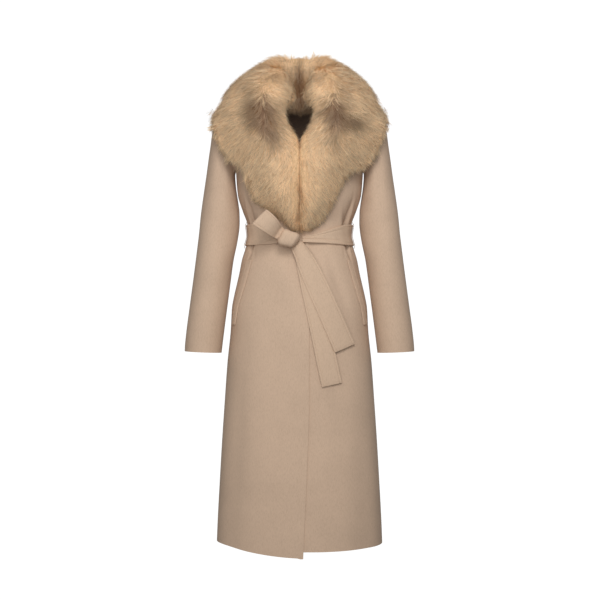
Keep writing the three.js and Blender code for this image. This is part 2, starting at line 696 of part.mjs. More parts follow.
// What the pile must keep clear of: the wool, grown by the gap, less the neck opening.
const torso = (() => {
  const rings = [];
  for (const z of ROWS.filter((r) => r > -470)) {
    const ring = [];
    for (let j = 0; j < TORSO_POINTS; j += 1) {
      ring.push(onBody((360 * j) / TORSO_POINTS, z, COLLAR_GAP));
    }
    rings.push(ring);
  }
  return solidOf(loft(rings));
})();

const neckHole = wasm.Manifold.cylinder(95, 1, 1, 40)
  .scale([61, 46, 1])
  .translate([0, 6, -80]);

const keepClear = wasm.Manifold.union([
  torso.subtract(neckHole),
  solidOf(sleeveFull(1)),
  solidOf(sleeveFull(-1)),
]);

function collar(side) {
  const left = collarFull(side).subtract(keepClear);
  const parts = left.decompose().sort((a, b) => b.volume() - a.volume());
  return geometryOf(parts[0].simplify(0.15));
}

// Belt.
function belt(grow) {
  const outer = [];
  const inner = [];
  const across = 5;
  const around = 34;
  for (let i = 0; i <= around; i += 1) {
    const deg = mix(BELT[0].deg, BELT[BELT.length - 1].deg, i / around);
    const top = read(BELT, "deg", deg, "top") + grow;
    const low = read(BELT, "deg", deg, "low") - grow;
    const swell = read(BELT, "deg", deg, "swell");
    const outerRow = [];
    const innerRow = [];
    for (let j = 0; j <= across; j += 1) {
      const t = j / across;
      const z = mix(low, top, t);
      const ridge = swell * (0.6 + 0.4 * Math.abs(Math.sin(Math.PI * BELT_RIDGES * t)));
      outerRow.push(overBody(deg, z, BELT_LIFT + BELT_THICK + ridge + grow));
      innerRow.push(overBody(deg, z, BELT_LIFT - grow));
    }
    outer.push(outerRow);
    inner.push(innerRow);
  }
  return wallOf(outer, inner, false);
}

function tail(table, across) {
  const outer = [];
  const inner = [];
  const rows = 13;
  for (let i = 0; i <= rows; i += 1) {
    const row = (i / rows) * (table.length - 1);
    const x = between(table, row, "x");
    const z = between(table, row, "z");
    const ahead = Math.min(row + 0.3, table.length - 1);
    const behind = Math.max(row - 0.3, 0);
    const dx = between(table, ahead, "x") - between(table, behind, "x");
    const dz = between(table, ahead, "z") - between(table, behind, "z");
    const length = Math.hypot(dx, dz);
    const wide = between(table, row, "wide");
    const lift = between(table, row, "lift");
    const cup = between(table, row, "cup");
    const outerRow = [];
    const innerRow = [];
    for (let j = 0; j <= across; j += 1) {
      const t = (2 * j) / across - 1;
      const px = x - (dz / length) * t * (wide / 2);
      const pz = z + (dx / length) * t * (wide / 2);
      const up = lift + cup * (1 - t * t);
      outerRow.push(onFront(px, pz, up + STRIP));
      innerRow.push(onFront(px, pz, up));
    }
    outer.push(outerRow);
    inner.push(innerRow);
  }
  return wallOf(outer, inner, false);
}

const loop = (() => {
  const outer = [];
  const inner = [];
  const rows = 20;
  const at = (row) =>
    new THREE.Vector3(between(LOOP, row, "x"), between(LOOP, row, "y"), between(LOOP, row, "z"));
  for (let i = 0; i <= rows; i += 1) {
    const row = (i / rows) * (LOOP.length - 1);
    const p = at(row);
    const along = at(Math.min(row + 0.2, LOOP.length - 1)).sub(at(Math.max(row - 0.2, 0))).normalize();
    const lean = turnOf(between(LOOP, row, "turn"));
    const side = new THREE.Vector3(Math.sin(-lean), 0, Math.cos(lean));
    side.addScaledVector(along, -side.dot(along)).normalize();
    const normal = new THREE.Vector3().crossVectors(along, side).normalize();
    const half = between(LOOP, row, "half");
    const outerRow = [];
    const innerRow = [];
    for (let j = 0; j <= 4; j += 1) {
      const t = j / 2 - 1;
      const q = p.clone().addScaledVector(side, t * half);
      outerRow.push(q.clone().addScaledVector(normal, STRIP / 2));
      innerRow.push(q.clone().addScaledVector(normal, -STRIP / 2));
    }
    outer.push(outerRow);
    inner.push(innerRow);
  }
  return wallOf(outer, inner, false);
})();

function knot(grow) {
  const rings = [];
  const rows = 12;
  for (let i = 0; i <= rows; i += 1) {
    const row = (i / rows) * (KNOT.length - 1);
    const lean = turnOf(between(KNOT, row, "turn"));
    const side = new THREE.Vector3(Math.sin(-lean), 0, Math.cos(lean));
    const up = between(KNOT, row, "up") + grow;
    const deep = between(KNOT, row, "deep") + grow;
    const push = grow * ((2 * i) / rows - 1);
    const ring = [];
    for (let j = 0; j < 18; j += 1) {
      const a = (2 * Math.PI * j) / 18;
      const c = Math.sign(Math.cos(a)) * Math.pow(Math.abs(Math.cos(a)), 0.66);
      const s = Math.sign(Math.sin(a)) * Math.pow(Math.abs(Math.sin(a)), 0.66);
      const p = new THREE.Vector3(between(KNOT, row, "x"), between(KNOT, row, "y"), between(KNOT, row, "z"));
      p.addScaledVector(side, up * c);
      p.y += deep * s;
      p.x += side.z * push;
      p.z -= side.x * push;
      ring.push(p);
    }
    rings.push(ring);
  }
  return loft(rings);
}

// The main piece of a solid after another is taken from it.
function cut(solid, tool) {
  const parts = solid.subtract(tool).decompose().sort((a, b) => b.volume() - a.volume());
  return geometryOf(parts[0].simplify(0.05));
}

// The belt's strips end at the knot.
const knotRoom = solidOf(knot(0.4));
const beltRoom = solidOf(belt(0.4));
const toKnot = (geometry) => cut(solidOf(geometry), knotRoom);
const toBelt = (geometry) => cut(solidOf(geometry), knotRoom.add(beltRoom));

function carrier(side) {
  const outer = [];
  const inner = [];
  const rows = 12;
  for (let i = 0; i <= rows; i += 1) {
    const t = i / rows;
    const z = mix(-370, -439, t);
    const over = smooth(Math.min(t, 1 - t) * 9) * (BELT_THICK + 1.4);
    const outerRow = [];
    const innerRow = [];
    for (let j = 0; j <= 2; j += 1) {
      const deg = side * 90 + (j - 1) * 1.6;
      outerRow.push(overBody(deg, z, 0.8 + over + 1.2));
      innerRow.push(overBody(deg, z, 0.8 + over));
    }
    outer.push(outerRow);
    inner.push(innerRow);
  }
  return wallOf(outer, inner, false);
}

function welt(side) {
  const outer = [];
  const inner = [];
  const rows = 12;
  for (let i = 0; i <= rows; i += 1) {
    const z = mix(WELT[0].z, WELT[WELT.length - 1].z, i / rows);
    const share = read(WELT, "z", z, "share");
    const middle = degAt(share * read(BODY, "z", z, "half"), z);
    const reach = bodyPoint(middle + 1, z).distanceTo(bodyPoint(middle - 1, z)) / 2;
    const outerRow = [];
    const innerRow = [];
    for (let j = 0; j <= 2; j += 1) {
      const deg = side * (middle + ((j - 1) * WELT_HALF) / reach);
      outerRow.push(onBody(deg, z, 0.9 + 2.2));
      innerRow.push(onBody(deg, z, 0.9));
    }
    outer.push(outerRow);
    inner.push(innerRow);
  }
  return wallOf(outer, inner, false);
}

// The coat.
const WOOL = { color: 0xbea58d, roughness: 0.92, metalness: 0 };
const FUR = { color: 0xb8956e, roughness: 0.85, metalness: 0 };
const LINING = { color: 0x3a2a20, roughness: 0.7, metalness: 0 };

const coat = new THREE.Group();
coat.name = "wool_coat";

function add(name, geometry, look) {
  const mesh = new THREE.Mesh(geometry, new THREE.MeshStandardMaterial(look));
  mesh.name = name;
  coat.add(mesh);
}

add("back", back, WOOL);
add("front_right", frontRight, WOOL);
add("front_left", frontLeft, WOOL);
add("sleeve_right", sleeve(-1), WOOL);
add("sleeve_left", sleeve(1), WOOL);
add("fur_collar_right", collar(-1), FUR);
add("fur_collar_left", collar(1), FUR);
add("belt_band", toKnot(belt(0)), WOOL);
add("belt_knot", knot(0), WOOL);
add("belt_loop", toKnot(loop), WOOL);
add("belt_tail_front", toBelt(tail(TAIL_FRONT, 4)), WOOL);
add("belt_tail_back", toBelt(tail(TAIL_BACK, 4)), WOOL);
add("belt_carrier_right", carrier(-1), WOOL);
add("belt_carrier_left", carrier(1), WOOL);
add("pocket_welt_right", welt(-1), WOOL);
add("pocket_welt_left", welt(1), WOOL);
add("neck_facing", facing, LINING);

export default coat;
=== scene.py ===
"""Knee-length wool wrap coat with a long-pile shawl collar and a tied belt, worn form with no wearer.

The cloth repeats the solids' named tables on finer grids. The collar's pile grows from the solids' form.
Lengths are in millimetres and angles in degrees, with +Z up and the coat's front towards -Y. Points turn
into metres where a mesh is made.
"""
import json
import math

import bpy
import numpy as np
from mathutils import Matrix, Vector
from mathutils.bvhtree import BVHTree
from mathutils.kdtree import KDTree

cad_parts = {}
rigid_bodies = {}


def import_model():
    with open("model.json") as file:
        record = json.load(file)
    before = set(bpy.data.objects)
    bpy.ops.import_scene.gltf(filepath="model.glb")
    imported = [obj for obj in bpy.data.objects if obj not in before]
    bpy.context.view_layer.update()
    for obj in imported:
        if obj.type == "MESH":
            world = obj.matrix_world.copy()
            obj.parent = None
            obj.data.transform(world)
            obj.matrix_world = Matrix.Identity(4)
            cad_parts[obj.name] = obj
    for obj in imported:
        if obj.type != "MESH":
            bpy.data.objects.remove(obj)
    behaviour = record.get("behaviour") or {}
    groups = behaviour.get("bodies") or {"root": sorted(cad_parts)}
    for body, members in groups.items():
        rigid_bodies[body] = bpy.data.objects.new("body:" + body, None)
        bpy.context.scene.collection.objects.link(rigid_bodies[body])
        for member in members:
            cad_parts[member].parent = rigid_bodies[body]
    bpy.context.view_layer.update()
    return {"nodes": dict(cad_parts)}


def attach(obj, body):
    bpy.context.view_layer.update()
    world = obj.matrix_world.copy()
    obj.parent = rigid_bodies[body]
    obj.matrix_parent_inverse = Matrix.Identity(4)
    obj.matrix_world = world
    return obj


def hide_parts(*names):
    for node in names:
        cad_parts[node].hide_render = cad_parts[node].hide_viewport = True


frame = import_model()
MM = 0.001
rng = np.random.default_rng(7)

# Sizes, as in the part's source.
WALL = 2.4
LAP_GAP = 0.6
SLEEVE_GAP = 0.6
SEAM_TURN = 0.03
TOLERANCE = 0.01
NECK_TOP = -12
SHOULDER = -84
UNDERARM = -240
ARM_MID = (SHOULDER + UNDERARM) / 2
ARM_HALF = (SHOULDER - UNDERARM) / 2
ARM_INSET = 0.1
WAIST = -406
HEM = -1195
HEM_START = -700
HEM_FRONT_RIGHT = -1194
HEM_FRONT_LEFT = -1199
HEM_POINT = 27
HEM_CURVE = 5
SKIRT_FOLD_GROWTH = 400
FOLD_END = 40
FOLD_FADE = 30
BELT_THICK = 3.2
BELT_LIFT = 1.2
STRIP = 2.4
CARRIER_TOP = -370
CARRIER_LOW = -439
CARRIER_GAP = 0.8
CARRIER_THICK = 1.2
CARRIER_OVER = 1.4
CARRIER_HALF_TURN = 1.6
WELT_HALF = 9.5
WELT_OUT = 3.3
WELT_IN = 0.9
KNOT_POWER = 0.66
FACING_TOP = -20
FACING_LOW = -205
FACING_GAP = 0.3
FACING_THICK = 1.2


def table(columns, rows):
    """Named columns, each an array."""
    values = np.array(rows, dtype=float)
    return {name: values[:, i] for i, name in enumerate(columns.split())}


BODY = table("z half front back mid power", [
    (-12, 74, 52, 50, 8, 2.05),
    (-24, 100, 68, 63, 8, 2.1),
    (-42, 132, 84, 77, 7, 2.15),
    (-62, 163, 96, 89, 6, 2.2),
    (-84, 192, 105, 97, 4, 2.25),
    (-110, 189, 112, 104, 2, 2.3),
    (-150, 180, 120, 111, 0, 2.3),
    (-200, 169, 126, 115, 0, 2.3),
    (-240, 165, 128, 115, 0, 2.3),
    (-270, 163, 127, 113, 0, 2.3),
    (-300, 160, 123, 109, 0, 2.3),
    (-343, 147, 113, 103, 0, 2.3),
    (-374, 136, 104, 97, 0, 2.3),
    (-406, 132, 101, 94, 0, 2.3),
    (-437, 140, 106, 100, 0, 2.3),
    (-468, 149.5, 112, 107, 0, 2.3),
    (-499, 155.5, 117, 112, 0, 2.3),
    (-530, 162.5, 121, 116, 0, 2.3),
    (-562, 170, 124, 119, 0, 2.3),
    (-593, 175.5, 126, 122, 0, 2.3),
    (-650, 178.5, 129, 125, 0, 2.3),
    (-733, 187, 132, 129, 0, 2.3),
    (-837, 194.5, 137, 134, 0, 2.3),
    (-941, 201.5, 142, 139, 0, 2.3),
    (-1045, 207.5, 146, 144, 0, 2.3),
    (-1149, 213, 150, 148, 0, 2.3),
    (-1230, 216, 153, 151, 0, 2.3),
])
BODY_FOLDS = table("deg top low wide deep lean", [
    (-63, -290, -395, 6.5, 12, 0.09),
    (63, -290, -395, 6.5, 12, -0.09),
    (-78, -310, -395, 6, 5, 0.02),
    (78, -310, -395, 6, 5, -0.02),
    (-62, -425, -480, 5, 7, 0.03),
    (62, -425, -480, 5, 7, -0.03),
    (135, -290, -395, 8, 8, 0.05),
    (-137, -300, -395, 8, 9, -0.05),
    (131, -425, -500, 6, 6, -0.03),
    (-133, -425, -495, 6, 6, 0.03),
    (172, -300, -395, 9, 4, 0.0),
    (-160, -640, -1400, 15, 5, 0.0),
    (150, -620, -1400, 16, 6, 0.0),
    (112, -660, -1400, 13, 4, 0.0),
    (-108, -640, -1400, 13, 4, 0.0),
    (-52, -660, -1400, 12, 3, 0.0),
    (48, -690, -1400, 12, 3, 0.0),
])
RIGHT_EDGE = table("z x", [
    (-12, -73),
    (-45, -62),
    (-91, -44),
    (-122, -34),
    (-151, -21),
    (-176, -4),
    (-202, 12),
    (-232, 21),
    (-262, 24),
    (-830, 24),
    (-960, 20),
    (-1130, 12),
    (-1230, 8),
])
LEFT_EDGE = table("z x", [
    (-12, 73),
    (-45, 62),
    (-91, 44),
    (-122, 34),
    (-151, 21),
    (-176, 4),
    (-205, -18),
    (-240, -48),
    (-290, -80),
    (-340, -86),
    (-1230, -88),
])
SLEEVE = table("outX outZ inX inZ y deep", [
    (201, -89, 166.6, -243, 2, 60),
    (211, -99, 167.2, -248, 2, 61),
    (220.5, -116, 167, -255, 2, 62),
    (227, -140, 166.4, -264, 2, 63),
    (231, -170, 165.4, -276, 1, 63),
    (236, -205, 163.4, -292, 0, 63),
    (242, -250, 159.6, -314, -1, 62.5),
    (249, -298, 155.4, -340, -2, 62),
    (256, -350, 154.8, -374, -4, 61),
    (261.5, -405, 159.5, -417, -6, 60),
    (268.5, -465, 169, -470, -9, 58.5),
    (276, -525, 178, -526, -13, 57),
    (284, -587, 186, -585, -17, 55.5),
    (291.5, -645, 193.5, -644, -21, 54),
    (296, -690, 199.5, -693, -24, 53),
    (296.5, -704, 201.2, -708, -25, 52.6),
])
SLEEVE_FOLDS = table("turn row wideTurn wideRow deep", [
    (40, 6.5, 34, 0.6, 4),
    (60, 8.6, 40, 0.7, 3.5),
    (30, 10.3, 36, 0.7, 3),
    (300, 7.5, 40, 0.7, 4),
    (320, 9.6, 38, 0.7, 3.5),
    (95, 4.4, 16, 2.6, 3),
    (262, 4.6, 17, 2.6, 3),
])
BELT = table("deg top low swell", [
    (-22, -384, -430, 5),
    (-34, -380, -431, 2),
    (-60, -377, -432, 0),
    (-90, -377, -432, 0),
    (-180, -378, -433, 0),
    (-270, -377, -432, 0),
    (-300, -378, -432, 0.5),
    (-318, -386, -431, 2.5),
    (-335, -397, -429, 4),
    (-352, -408, -428, 6.5),
    (-361, -412, -427, 7.5),
])
TAIL_FRONT = table("x z wide lift cup", [
    (-14, -427, 26, 9, 4),
    (-3, -441, 36, 8, 6),
    (6, -456, 41, 6.4, 6),
    (17, -478, 48, 5.4, 4),
    (34, -515, 53, 5, 1.6),
    (52, -555, 54, 5, 0),
    (71, -598, 54, 5, 0),
    (91, -645, 54, 5.2, 0),
    (112, -694, 54, 5.6, 0),
])
TAIL_BACK = table("x z wide lift cup", [
    (-8, -430, 24, 5, 2),
    (2, -446, 33, 2.6, 1.2),
    (8, -466, 38, 2.2, 0.4),
    (19, -500, 46, 2, 0),
    (31, -550, 50, 2, 0),
    (44, -610, 51, 2, 0),
    (57, -670, 51, 2, 0),
    (69, -730, 51, 2.2, 0),
    (81, -786, 51, 2.8, 0),
])
LOOP = table("x y z half turn", [
    (-45, -123, -408, 15, -32),
    (-52, -124, -403, 16.5, -34),
    (-59, -131, -397, 18.5, -37),
    (-71, -141, -386, 22, -40),
    (-86, -150, -374, 24.5, -42),
    (-96, -157, -367, 25, -44),
    (-100, -163, -364, 24, -45),
    (-96, -168, -367, 25, -44),
    (-86, -167, -374, 24.5, -42),
    (-71, -161, -386, 22, -40),
    (-60, -148, -397, 18.5, -37),
    (-53, -137, -402, 16.5, -34),
    (-45, -134, -408, 15, -32),
])
KNOT = table("x y z up deep turn", [
    (-49, -127, -407, 14, 8, -30),
    (-45, -129, -410, 20, 15, -30),
    (-37, -130, -414, 23, 18.5, -31),
    (-26, -130, -419, 23, 19.5, -33),
    (-16, -129, -423, 21.5, 18.5, -35),
    (-10, -128, -426, 18, 15, -37),
    (-6, -126, -427.5, 12, 9, -38),
])
WELT = table("z share", [
    (-470, 0.845),
    (-500, 0.865),
    (-550, 0.89),
    (-600, 0.922),
    (-636, 0.945),
])

# Small creases of the cloth: angle, height, width in degrees, length, depth, lean in degrees a mm.
CREASES = table("deg z wide long deep lean", [
    (-64, -352, 3.4, 26, 2.6, 0.16),
    (-50, -356, 3.0, 22, 2.2, 0.22),
    (-38, -362, 4.0, 18, 1.4, 0.2),
    (-70, -335, 3.2, 24, 2.0, 0.1),
    (64, -350, 3.4, 25, 2.6, -0.16),
    (51, -354, 3.0, 22, 2.2, -0.22),
    (40, -360, 4.0, 18, 1.4, -0.2),
    (71, -333, 3.2, 24, 2.0, -0.1),
    (-60, -458, 2.6, 18, 2.2, -0.1),
    (-50, -452, 2.4, 14, 1.8, -0.12),
    (-70, -455, 2.6, 15, 1.5, -0.06),
    (60, -458, 2.6, 18, 2.2, 0.1),
    (50, -452, 2.4, 14, 1.8, 0.12),
    (70, -455, 2.6, 15, 1.5, 0.06),
    (-72, -268, 9.0, 2.0, 2.0, 0.0),
    (72, -268, 9.0, 2.0, 2.0, 0.0),
    (145, -350, 4.0, 28, 3.0, -0.12),
    (122, -346, 3.6, 24, 2.4, -0.08),
    (168, -352, 4.4, 22, 2.0, -0.04),
    (-148, -350, 4.0, 30, 3.0, 0.12),
    (-124, -348, 3.8, 24, 2.6, 0.08),
    (-172, -356, 4.4, 20, 1.8, 0.03),
    (140, -462, 3.4, 22, 2.6, 0.05),
    (122, -458, 3.0, 18, 2.0, 0.06),
    (158, -456, 3.4, 16, 1.6, 0.02),
    (-142, -462, 3.4, 22, 2.6, -0.05),
    (-124, -457, 3.0, 17, 2.0, -0.06),
    (-62, -376, 2.2, 48, 11.0, 0.07),
    (65, -376, 2.2, 44, 10.0, -0.09),
    (-69, -380, 2.0, 28, 5.0, 0.1),
    (56, -384, 2.0, 26, 4.0, -0.12),
    (-62, -438, 2.6, 14, 10.0, -0.12),
    (63, -438, 2.6, 14, 10.0, 0.12),
    (-5, -490, 4.5, 52, 4.0, -0.077),
    (34, -535, 6.0, 72, 5.0, -0.106),
    (-20, -700, 9.0, 150, 1.6, 0.0),
    (28, -820, 9.0, 200, 1.6, 0.0),
    (-48, -900, 8.0, 220, 1.4, 0.0),
])

# Creases of the sleeves that only this model has: turn, station, slant, widths and depth.
SLEEVE_CREASES = table("turn row slant wideTurn wideRow deep", [
    (48, 7.4, 22, 26, 0.28, 1.7),
    (62, 9.4, -18, 26, 0.26, 1.4),
    (36, 11.2, 16, 24, 0.25, 1.2),
    (80, 6.1, 14, 22, 0.3, 1.2),
    (120, 8.2, -12, 30, 0.3, 0.9),
    (310, 8.3, -20, 28, 0.28, 1.7),
    (292, 10.4, 16, 28, 0.28, 1.5),
    (270, 6.8, 12, 26, 0.3, 1.3),
    (330, 6.6, 14, 24, 0.26, 1.4),
    (205, 8.9, 10, 30, 0.35, 0.8),
])

# Dark patches on the front of the collar: the dark roots where the hair parts, with painted shade in the
# partings; the last row is painted shade in the valley where the two halves meet.
DARK = table("x z wide high deep", [
    (-100, -88, 30, 30, 1.5),
    (-88, -124, 24, 26, 1.3),
    (-70, -164, 20, 30, 0.7),
    (-112, -30, 16, 34, 0.5),
    (-60, -2, 22, 14, 0.7),
    (84, -88, 22, 26, 1.3),
    (122, -118, 30, 20, 1.3),
    (88, -150, 16, 30, 0.7),
    (104, -30, 16, 34, 0.5),
    (62, 2, 18, 12, 0.5),
    (0, 0, 10, 52, 1.0),
])


# Curves, and the surface of the body.

def smooth(t):
    c = np.clip(t, 0, 1)
    return c * c * (3 - 2 * c)


def mix(a, b, t):
    return a + (b - a) * t


def read(tab, key, value, column):
    """The table's column at these values of its key, on a curve that never overshoots its rows."""
    x = tab[key]
    y = tab[column]
    if x[0] > x[-1]:
        x = x[::-1]
        y = y[::-1]
    h = np.diff(x)
    rise = np.diff(y) / h
    a = rise[:-1]
    b = rise[1:]
    total = np.where(a + b == 0, 1, a + b)
    inner = np.where(a * b <= 0, 0, 2 * a * b / total)
    slope = np.concatenate([rise[:1], inner, rise[-1:]])
    v = np.clip(value, x[0], x[-1])
    i = np.clip(np.searchsorted(x, v, side="right") - 1, 0, len(h) - 1)
    t = (v - x[i]) / h[i]
    t2 = t * t
    t3 = t2 * t
    return (y[i] * (2 * t3 - 3 * t2 + 1) + slope[i] * h[i] * (t3 - 2 * t2 + t)
            + y[i + 1] * (3 * t2 - 2 * t3) + slope[i + 1] * h[i] * (t3 - t2))


def between(tab, row, column):
    """The column read between its rows by row number."""
    count = len(tab[column])
    return read({"row": np.arange(count), "v": tab[column]}, "row", row, "v")


def wrap(deg):
    return (np.asarray(deg) + 180) % 360 - 180


def fold_depth(deg, z):
    """The large folds of the solids: gathers that run into the belt, and folds that grow to the hem."""
    total = np.zeros(np.broadcast(deg, z).shape)
    for i in range(len(BODY_FOLDS["deg"])):
        f = {k: v[i] for k, v in BODY_FOLDS.items()}
        middle = f["deg"] + f["lean"] * (z - f["low"])
        off = wrap(deg - middle) / f["wide"]
        above_belt = f["top"] > WAIST
        if f["low"] < HEM:
            along = smooth((f["top"] - z) / SKIRT_FOLD_GROWTH)
            fade = 1.0
        else:
            span = (f["top"] - z) / (f["top"] - f["low"])
            along = smooth(span) if above_belt else smooth((1 - span) * 1.2)
            fade = smooth((z - (f["low"] - FOLD_END)) / FOLD_FADE) if above_belt else 1.0
        live = (z <= f["top"]) & (z >= f["low"] - FOLD_END)
        total = total + np.where(live, f["deep"] * np.exp(-off * off) * along * fade, 0)
    return total


def crease_depth(deg, z):
    """The smaller creases that only this model has: short soft troughs."""
    total = np.zeros(np.broadcast(deg, z).shape)
    for i in range(len(CREASES["deg"])):
        f = {k: v[i] for k, v in CREASES.items()}
        off = wrap(deg - f["deg"] - f["lean"] * (z - f["z"])) / f["wide"]
        up = (z - f["z"]) / f["long"]
        total = total + f["deep"] * np.exp(-off * off - up * up)
    return total


def body_point(deg, z, plain=False):
    """Points on the body's outer face, by angle from the middle of the front; plain has no folds."""
    deg, z = np.broadcast_arrays(np.asarray(deg, float), np.asarray(z, float))
    half = read(BODY, "z", z, "half")
    power = read(BODY, "z", z, "power")
    s = np.sin(np.radians(deg))
    c = np.cos(np.radians(deg))
    deep = np.where(c > 0, read(BODY, "z", z, "front"), read(BODY, "z", z, "back"))
    sx = np.sign(s) * np.abs(s) ** (2 / power)
    sy = -np.sign(c) * np.abs(c) ** (2 / power)
    point = np.stack([half * sx, read(BODY, "z", z, "mid") + deep * sy, z], axis=-1)
    if not plain:
        n = np.stack([sx / half, sy / deep, np.zeros_like(sx)], axis=-1)
        n /= np.linalg.norm(n, axis=-1, keepdims=True)
        point = point - n * (fold_depth(deg, z) + crease_depth(deg, z))[..., None]
    return point


def body_normal(deg, z, plain=False):
    """Outward normals of the body, read over short steps, and shorter ones at the shoulder."""
    deg, z = np.broadcast_arrays(np.asarray(deg, float), np.asarray(z, float))
    h = np.where(z > -90, 0.6, 2.0)
    high = np.minimum(z + h, NECK_TOP)
    across = body_point(deg + 1.2, z, plain) - body_point(deg - 1.2, z, plain)
    up = body_point(deg, high, plain) - body_point(deg, high - 2 * h, plain)
    n = np.cross(across, up)
    return n / np.linalg.norm(n, axis=-1, keepdims=True)


def on_body(deg, z, out):
    """Points at a distance out from the body with its folds."""
    return body_point(deg, z) + body_normal(deg, z) * np.asarray(out, float)[..., None]


def over_body(deg, z, out):
    """Points at a distance out from the body without its folds, as the belt spans them."""
    out = np.asarray(out, float)[..., None]
    return body_point(deg, z, True) + body_normal(deg, z, True) * out


def deg_at(x, z):
    """The angle at which the body's front has this x."""
    half = read(BODY, "z", z, "half")
    power = read(BODY, "z", z, "power")
    share = np.minimum(1, np.abs(x) / half)
    return np.sign(x) * np.degrees(np.arcsin(share ** (power / 2)))


def arm_share(z):
    """Share of the body's half width at which the armhole runs."""
    c = np.minimum(1, np.abs((z - ARM_MID) / ARM_HALF))
    return 1 - ARM_INSET * (1 - c * c)


def beside_arm(z):
    return (z < SHOULDER - TOLERANCE) & (z > UNDERARM + TOLERANCE)


def outer_deg(z):
    """The angle of the fronts' outer edge: the side seam, or the armhole."""
    z = np.asarray(z, float)
    return np.where(beside_arm(z), deg_at(arm_share(z) * read(BODY, "z", z, "half"), z), 90.0)


# Meshes.

def make_object(name, verts, faces, material, smooth_angle=40):
    """An object from points in millimetres, shaded smooth where its faces meet at less than an angle."""
    mesh = bpy.data.meshes.new(name)
    mesh.from_pydata((np.asarray(verts) * MM).tolist(), [], faces)
    mesh.update()
    mesh.shade_smooth()
    if smooth_angle:
        mesh.set_sharp_from_angle(angle=math.radians(smooth_angle))
    mesh.materials.append(material)
    return add_object(name, mesh)


def add_object(name, mesh):
    obj = bpy.data.objects.new(name, mesh)
    bpy.context.scene.collection.objects.link(obj)
    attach(obj, "root")
    return obj


def cloth_piece(node, shape, material, smooth_angle=40):
    """A piece of cloth in the place of the solid of this name."""
    verts, faces = shape
    obj = make_object(node + "_cloth", verts, faces, material, smooth_angle)
    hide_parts(node)
    return obj


def turn_out(verts, faces):
    """The faces turned so that a closed surface faces outwards."""
    v = np.asarray(verts)
    volume = 0.0
    for f in faces:
        for k in range(1, len(f) - 1):
            volume += np.dot(v[f[0]], np.cross(v[f[k]], v[f[k + 1]]))
    return faces if volume > 0 else [tuple(reversed(f)) for f in faces]


def wall_mesh(outer, inner, closed=False):
    """A closed wall between two grids of points; closed says that the grids run all round."""
    rows, columns = outer.shape[:2]
    faces = []

    def at(side, i, j):
        return side * rows * columns + i * columns + j % columns

    last = columns if closed else columns - 1
    bottom = rows - 1
    right = columns - 1
    for i in range(rows - 1):
        for j in range(last):
            faces.append((at(0, i, j), at(0, i + 1, j), at(0, i + 1, j + 1), at(0, i, j + 1)))
            faces.append((at(1, i, j), at(1, i, j + 1), at(1, i + 1, j + 1), at(1, i + 1, j)))
    for j in range(last):
        faces.append((at(0, 0, j), at(0, 0, j + 1), at(1, 0, j + 1), at(1, 0, j)))
        faces.append((at(0, bottom, j), at(1, bottom, j), at(1, bottom, j + 1), at(0, bottom, j + 1)))
    if not closed:
        for i in range(rows - 1):
            faces.append((at(0, i, 0), at(1, i, 0), at(1, i + 1, 0), at(0, i + 1, 0)))
            faces.append((at(0, i, right), at(0, i + 1, right), at(1, i + 1, right), at(1, i, right)))
    verts = np.concatenate([outer.reshape(-1, 3), inner.reshape(-1, 3)])
    return verts, turn_out(verts, faces)


def loft_mesh(rings):
    """A closed solid through closed rings, each end closed by a fan."""
    count = rings.shape[1]
    verts = list(rings.reshape(-1, 3))
    faces = []
    for i in range(len(rings) - 1):
        for j in range(count):
            a = i * count + j
            b = i * count + (j + 1) % count
            faces.append((a, a + count, b + count, b))
    for end in (0, len(rings) - 1):
        verts.append(rings[end].mean(axis=0))
        hub = len(verts) - 1
        for j in range(count):
            a = end * count + j
            b = end * count + (j + 1) % count
            faces.append((hub, a, b) if end == 0 else (hub, b, a))
    verts = np.array(verts)
    return verts, turn_out(verts, faces)


# Materials.

def srgb(r, g, b):
    """A display colour as the linear colour that the shaders take."""
    def one(c):
        c /= 255
        return c / 12.92 if c <= 0.04045 else ((c + 0.055) / 1.055) ** 2.4
    return (one(r), one(g), one(b), 1.0)


class Nodes:
    """A short way to add nodes to a new material and link them."""

    def __init__(self, name, **sockets):
        self.material = bpy.data.materials.new(name)
        self.material.use_nodes = True
        self.tree = self.material.node_tree
        self.shader = self.tree.nodes["Principled BSDF"]
        for key, value in sockets.items():
            self.shader.inputs[key.replace("_", " ")].default_value = value
        self.where = self.tree.nodes.new("ShaderNodeTexCoord").outputs["Object"]

    def link(self, a, b):
        self.tree.links.new(a, b)

    def add(self, kind, inputs=None, **settings):
        node = self.tree.nodes.new(kind)
        for key, value in settings.items():
            setattr(node, key, value)
        for key, value in (inputs or {}).items():
            if isinstance(value, bpy.types.NodeSocket):
                self.link(value, node.inputs[key])
            else:
                node.inputs[key].default_value = value
        return node

    def noise(self, scale, detail=2.0, rough=0.5, stretch=None):
        where = self.where
        if stretch:
            where = self.add("ShaderNodeMapping", {"Vector": where, "Scale": stretch}).outputs["Vector"]
        node = self.add("ShaderNodeTexNoise", {"Vector": where, "Scale": scale, "Detail": detail,
                                               "Roughness": rough})
        return node.outputs["Fac"]

    def ramp(self, fac, stops):
        node = self.add("ShaderNodeValToRGB", {"Fac": fac})
        ramp = node.color_ramp
        while len(ramp.elements) < len(stops):
            ramp.elements.new(0.5)
        for element, (place, colour) in zip(ramp.elements, stops):
            element.position = place
            element.color = colour
        return node.outputs["Color"]

    def mix(self, fac, a, b, blend="MIX"):
        node = self.add("ShaderNodeMix", data_type="RGBA", blend_type=blend)
        for index, value in ((0, fac), (6, a), (7, b)):
            if isinstance(value, bpy.types.NodeSocket):
                self.link(value, node.inputs[index])
            else:
                node.inputs[index].default_value = value
        return node.outputs[2]

    def bump(self, height, strength, distance, normal=None):
        inputs = {"Height": height, "Strength": strength, "Distance": distance}
        if normal is not None:
            inputs["Normal"] = normal
        return self.add("ShaderNodeBump", inputs).outputs["Normal"]


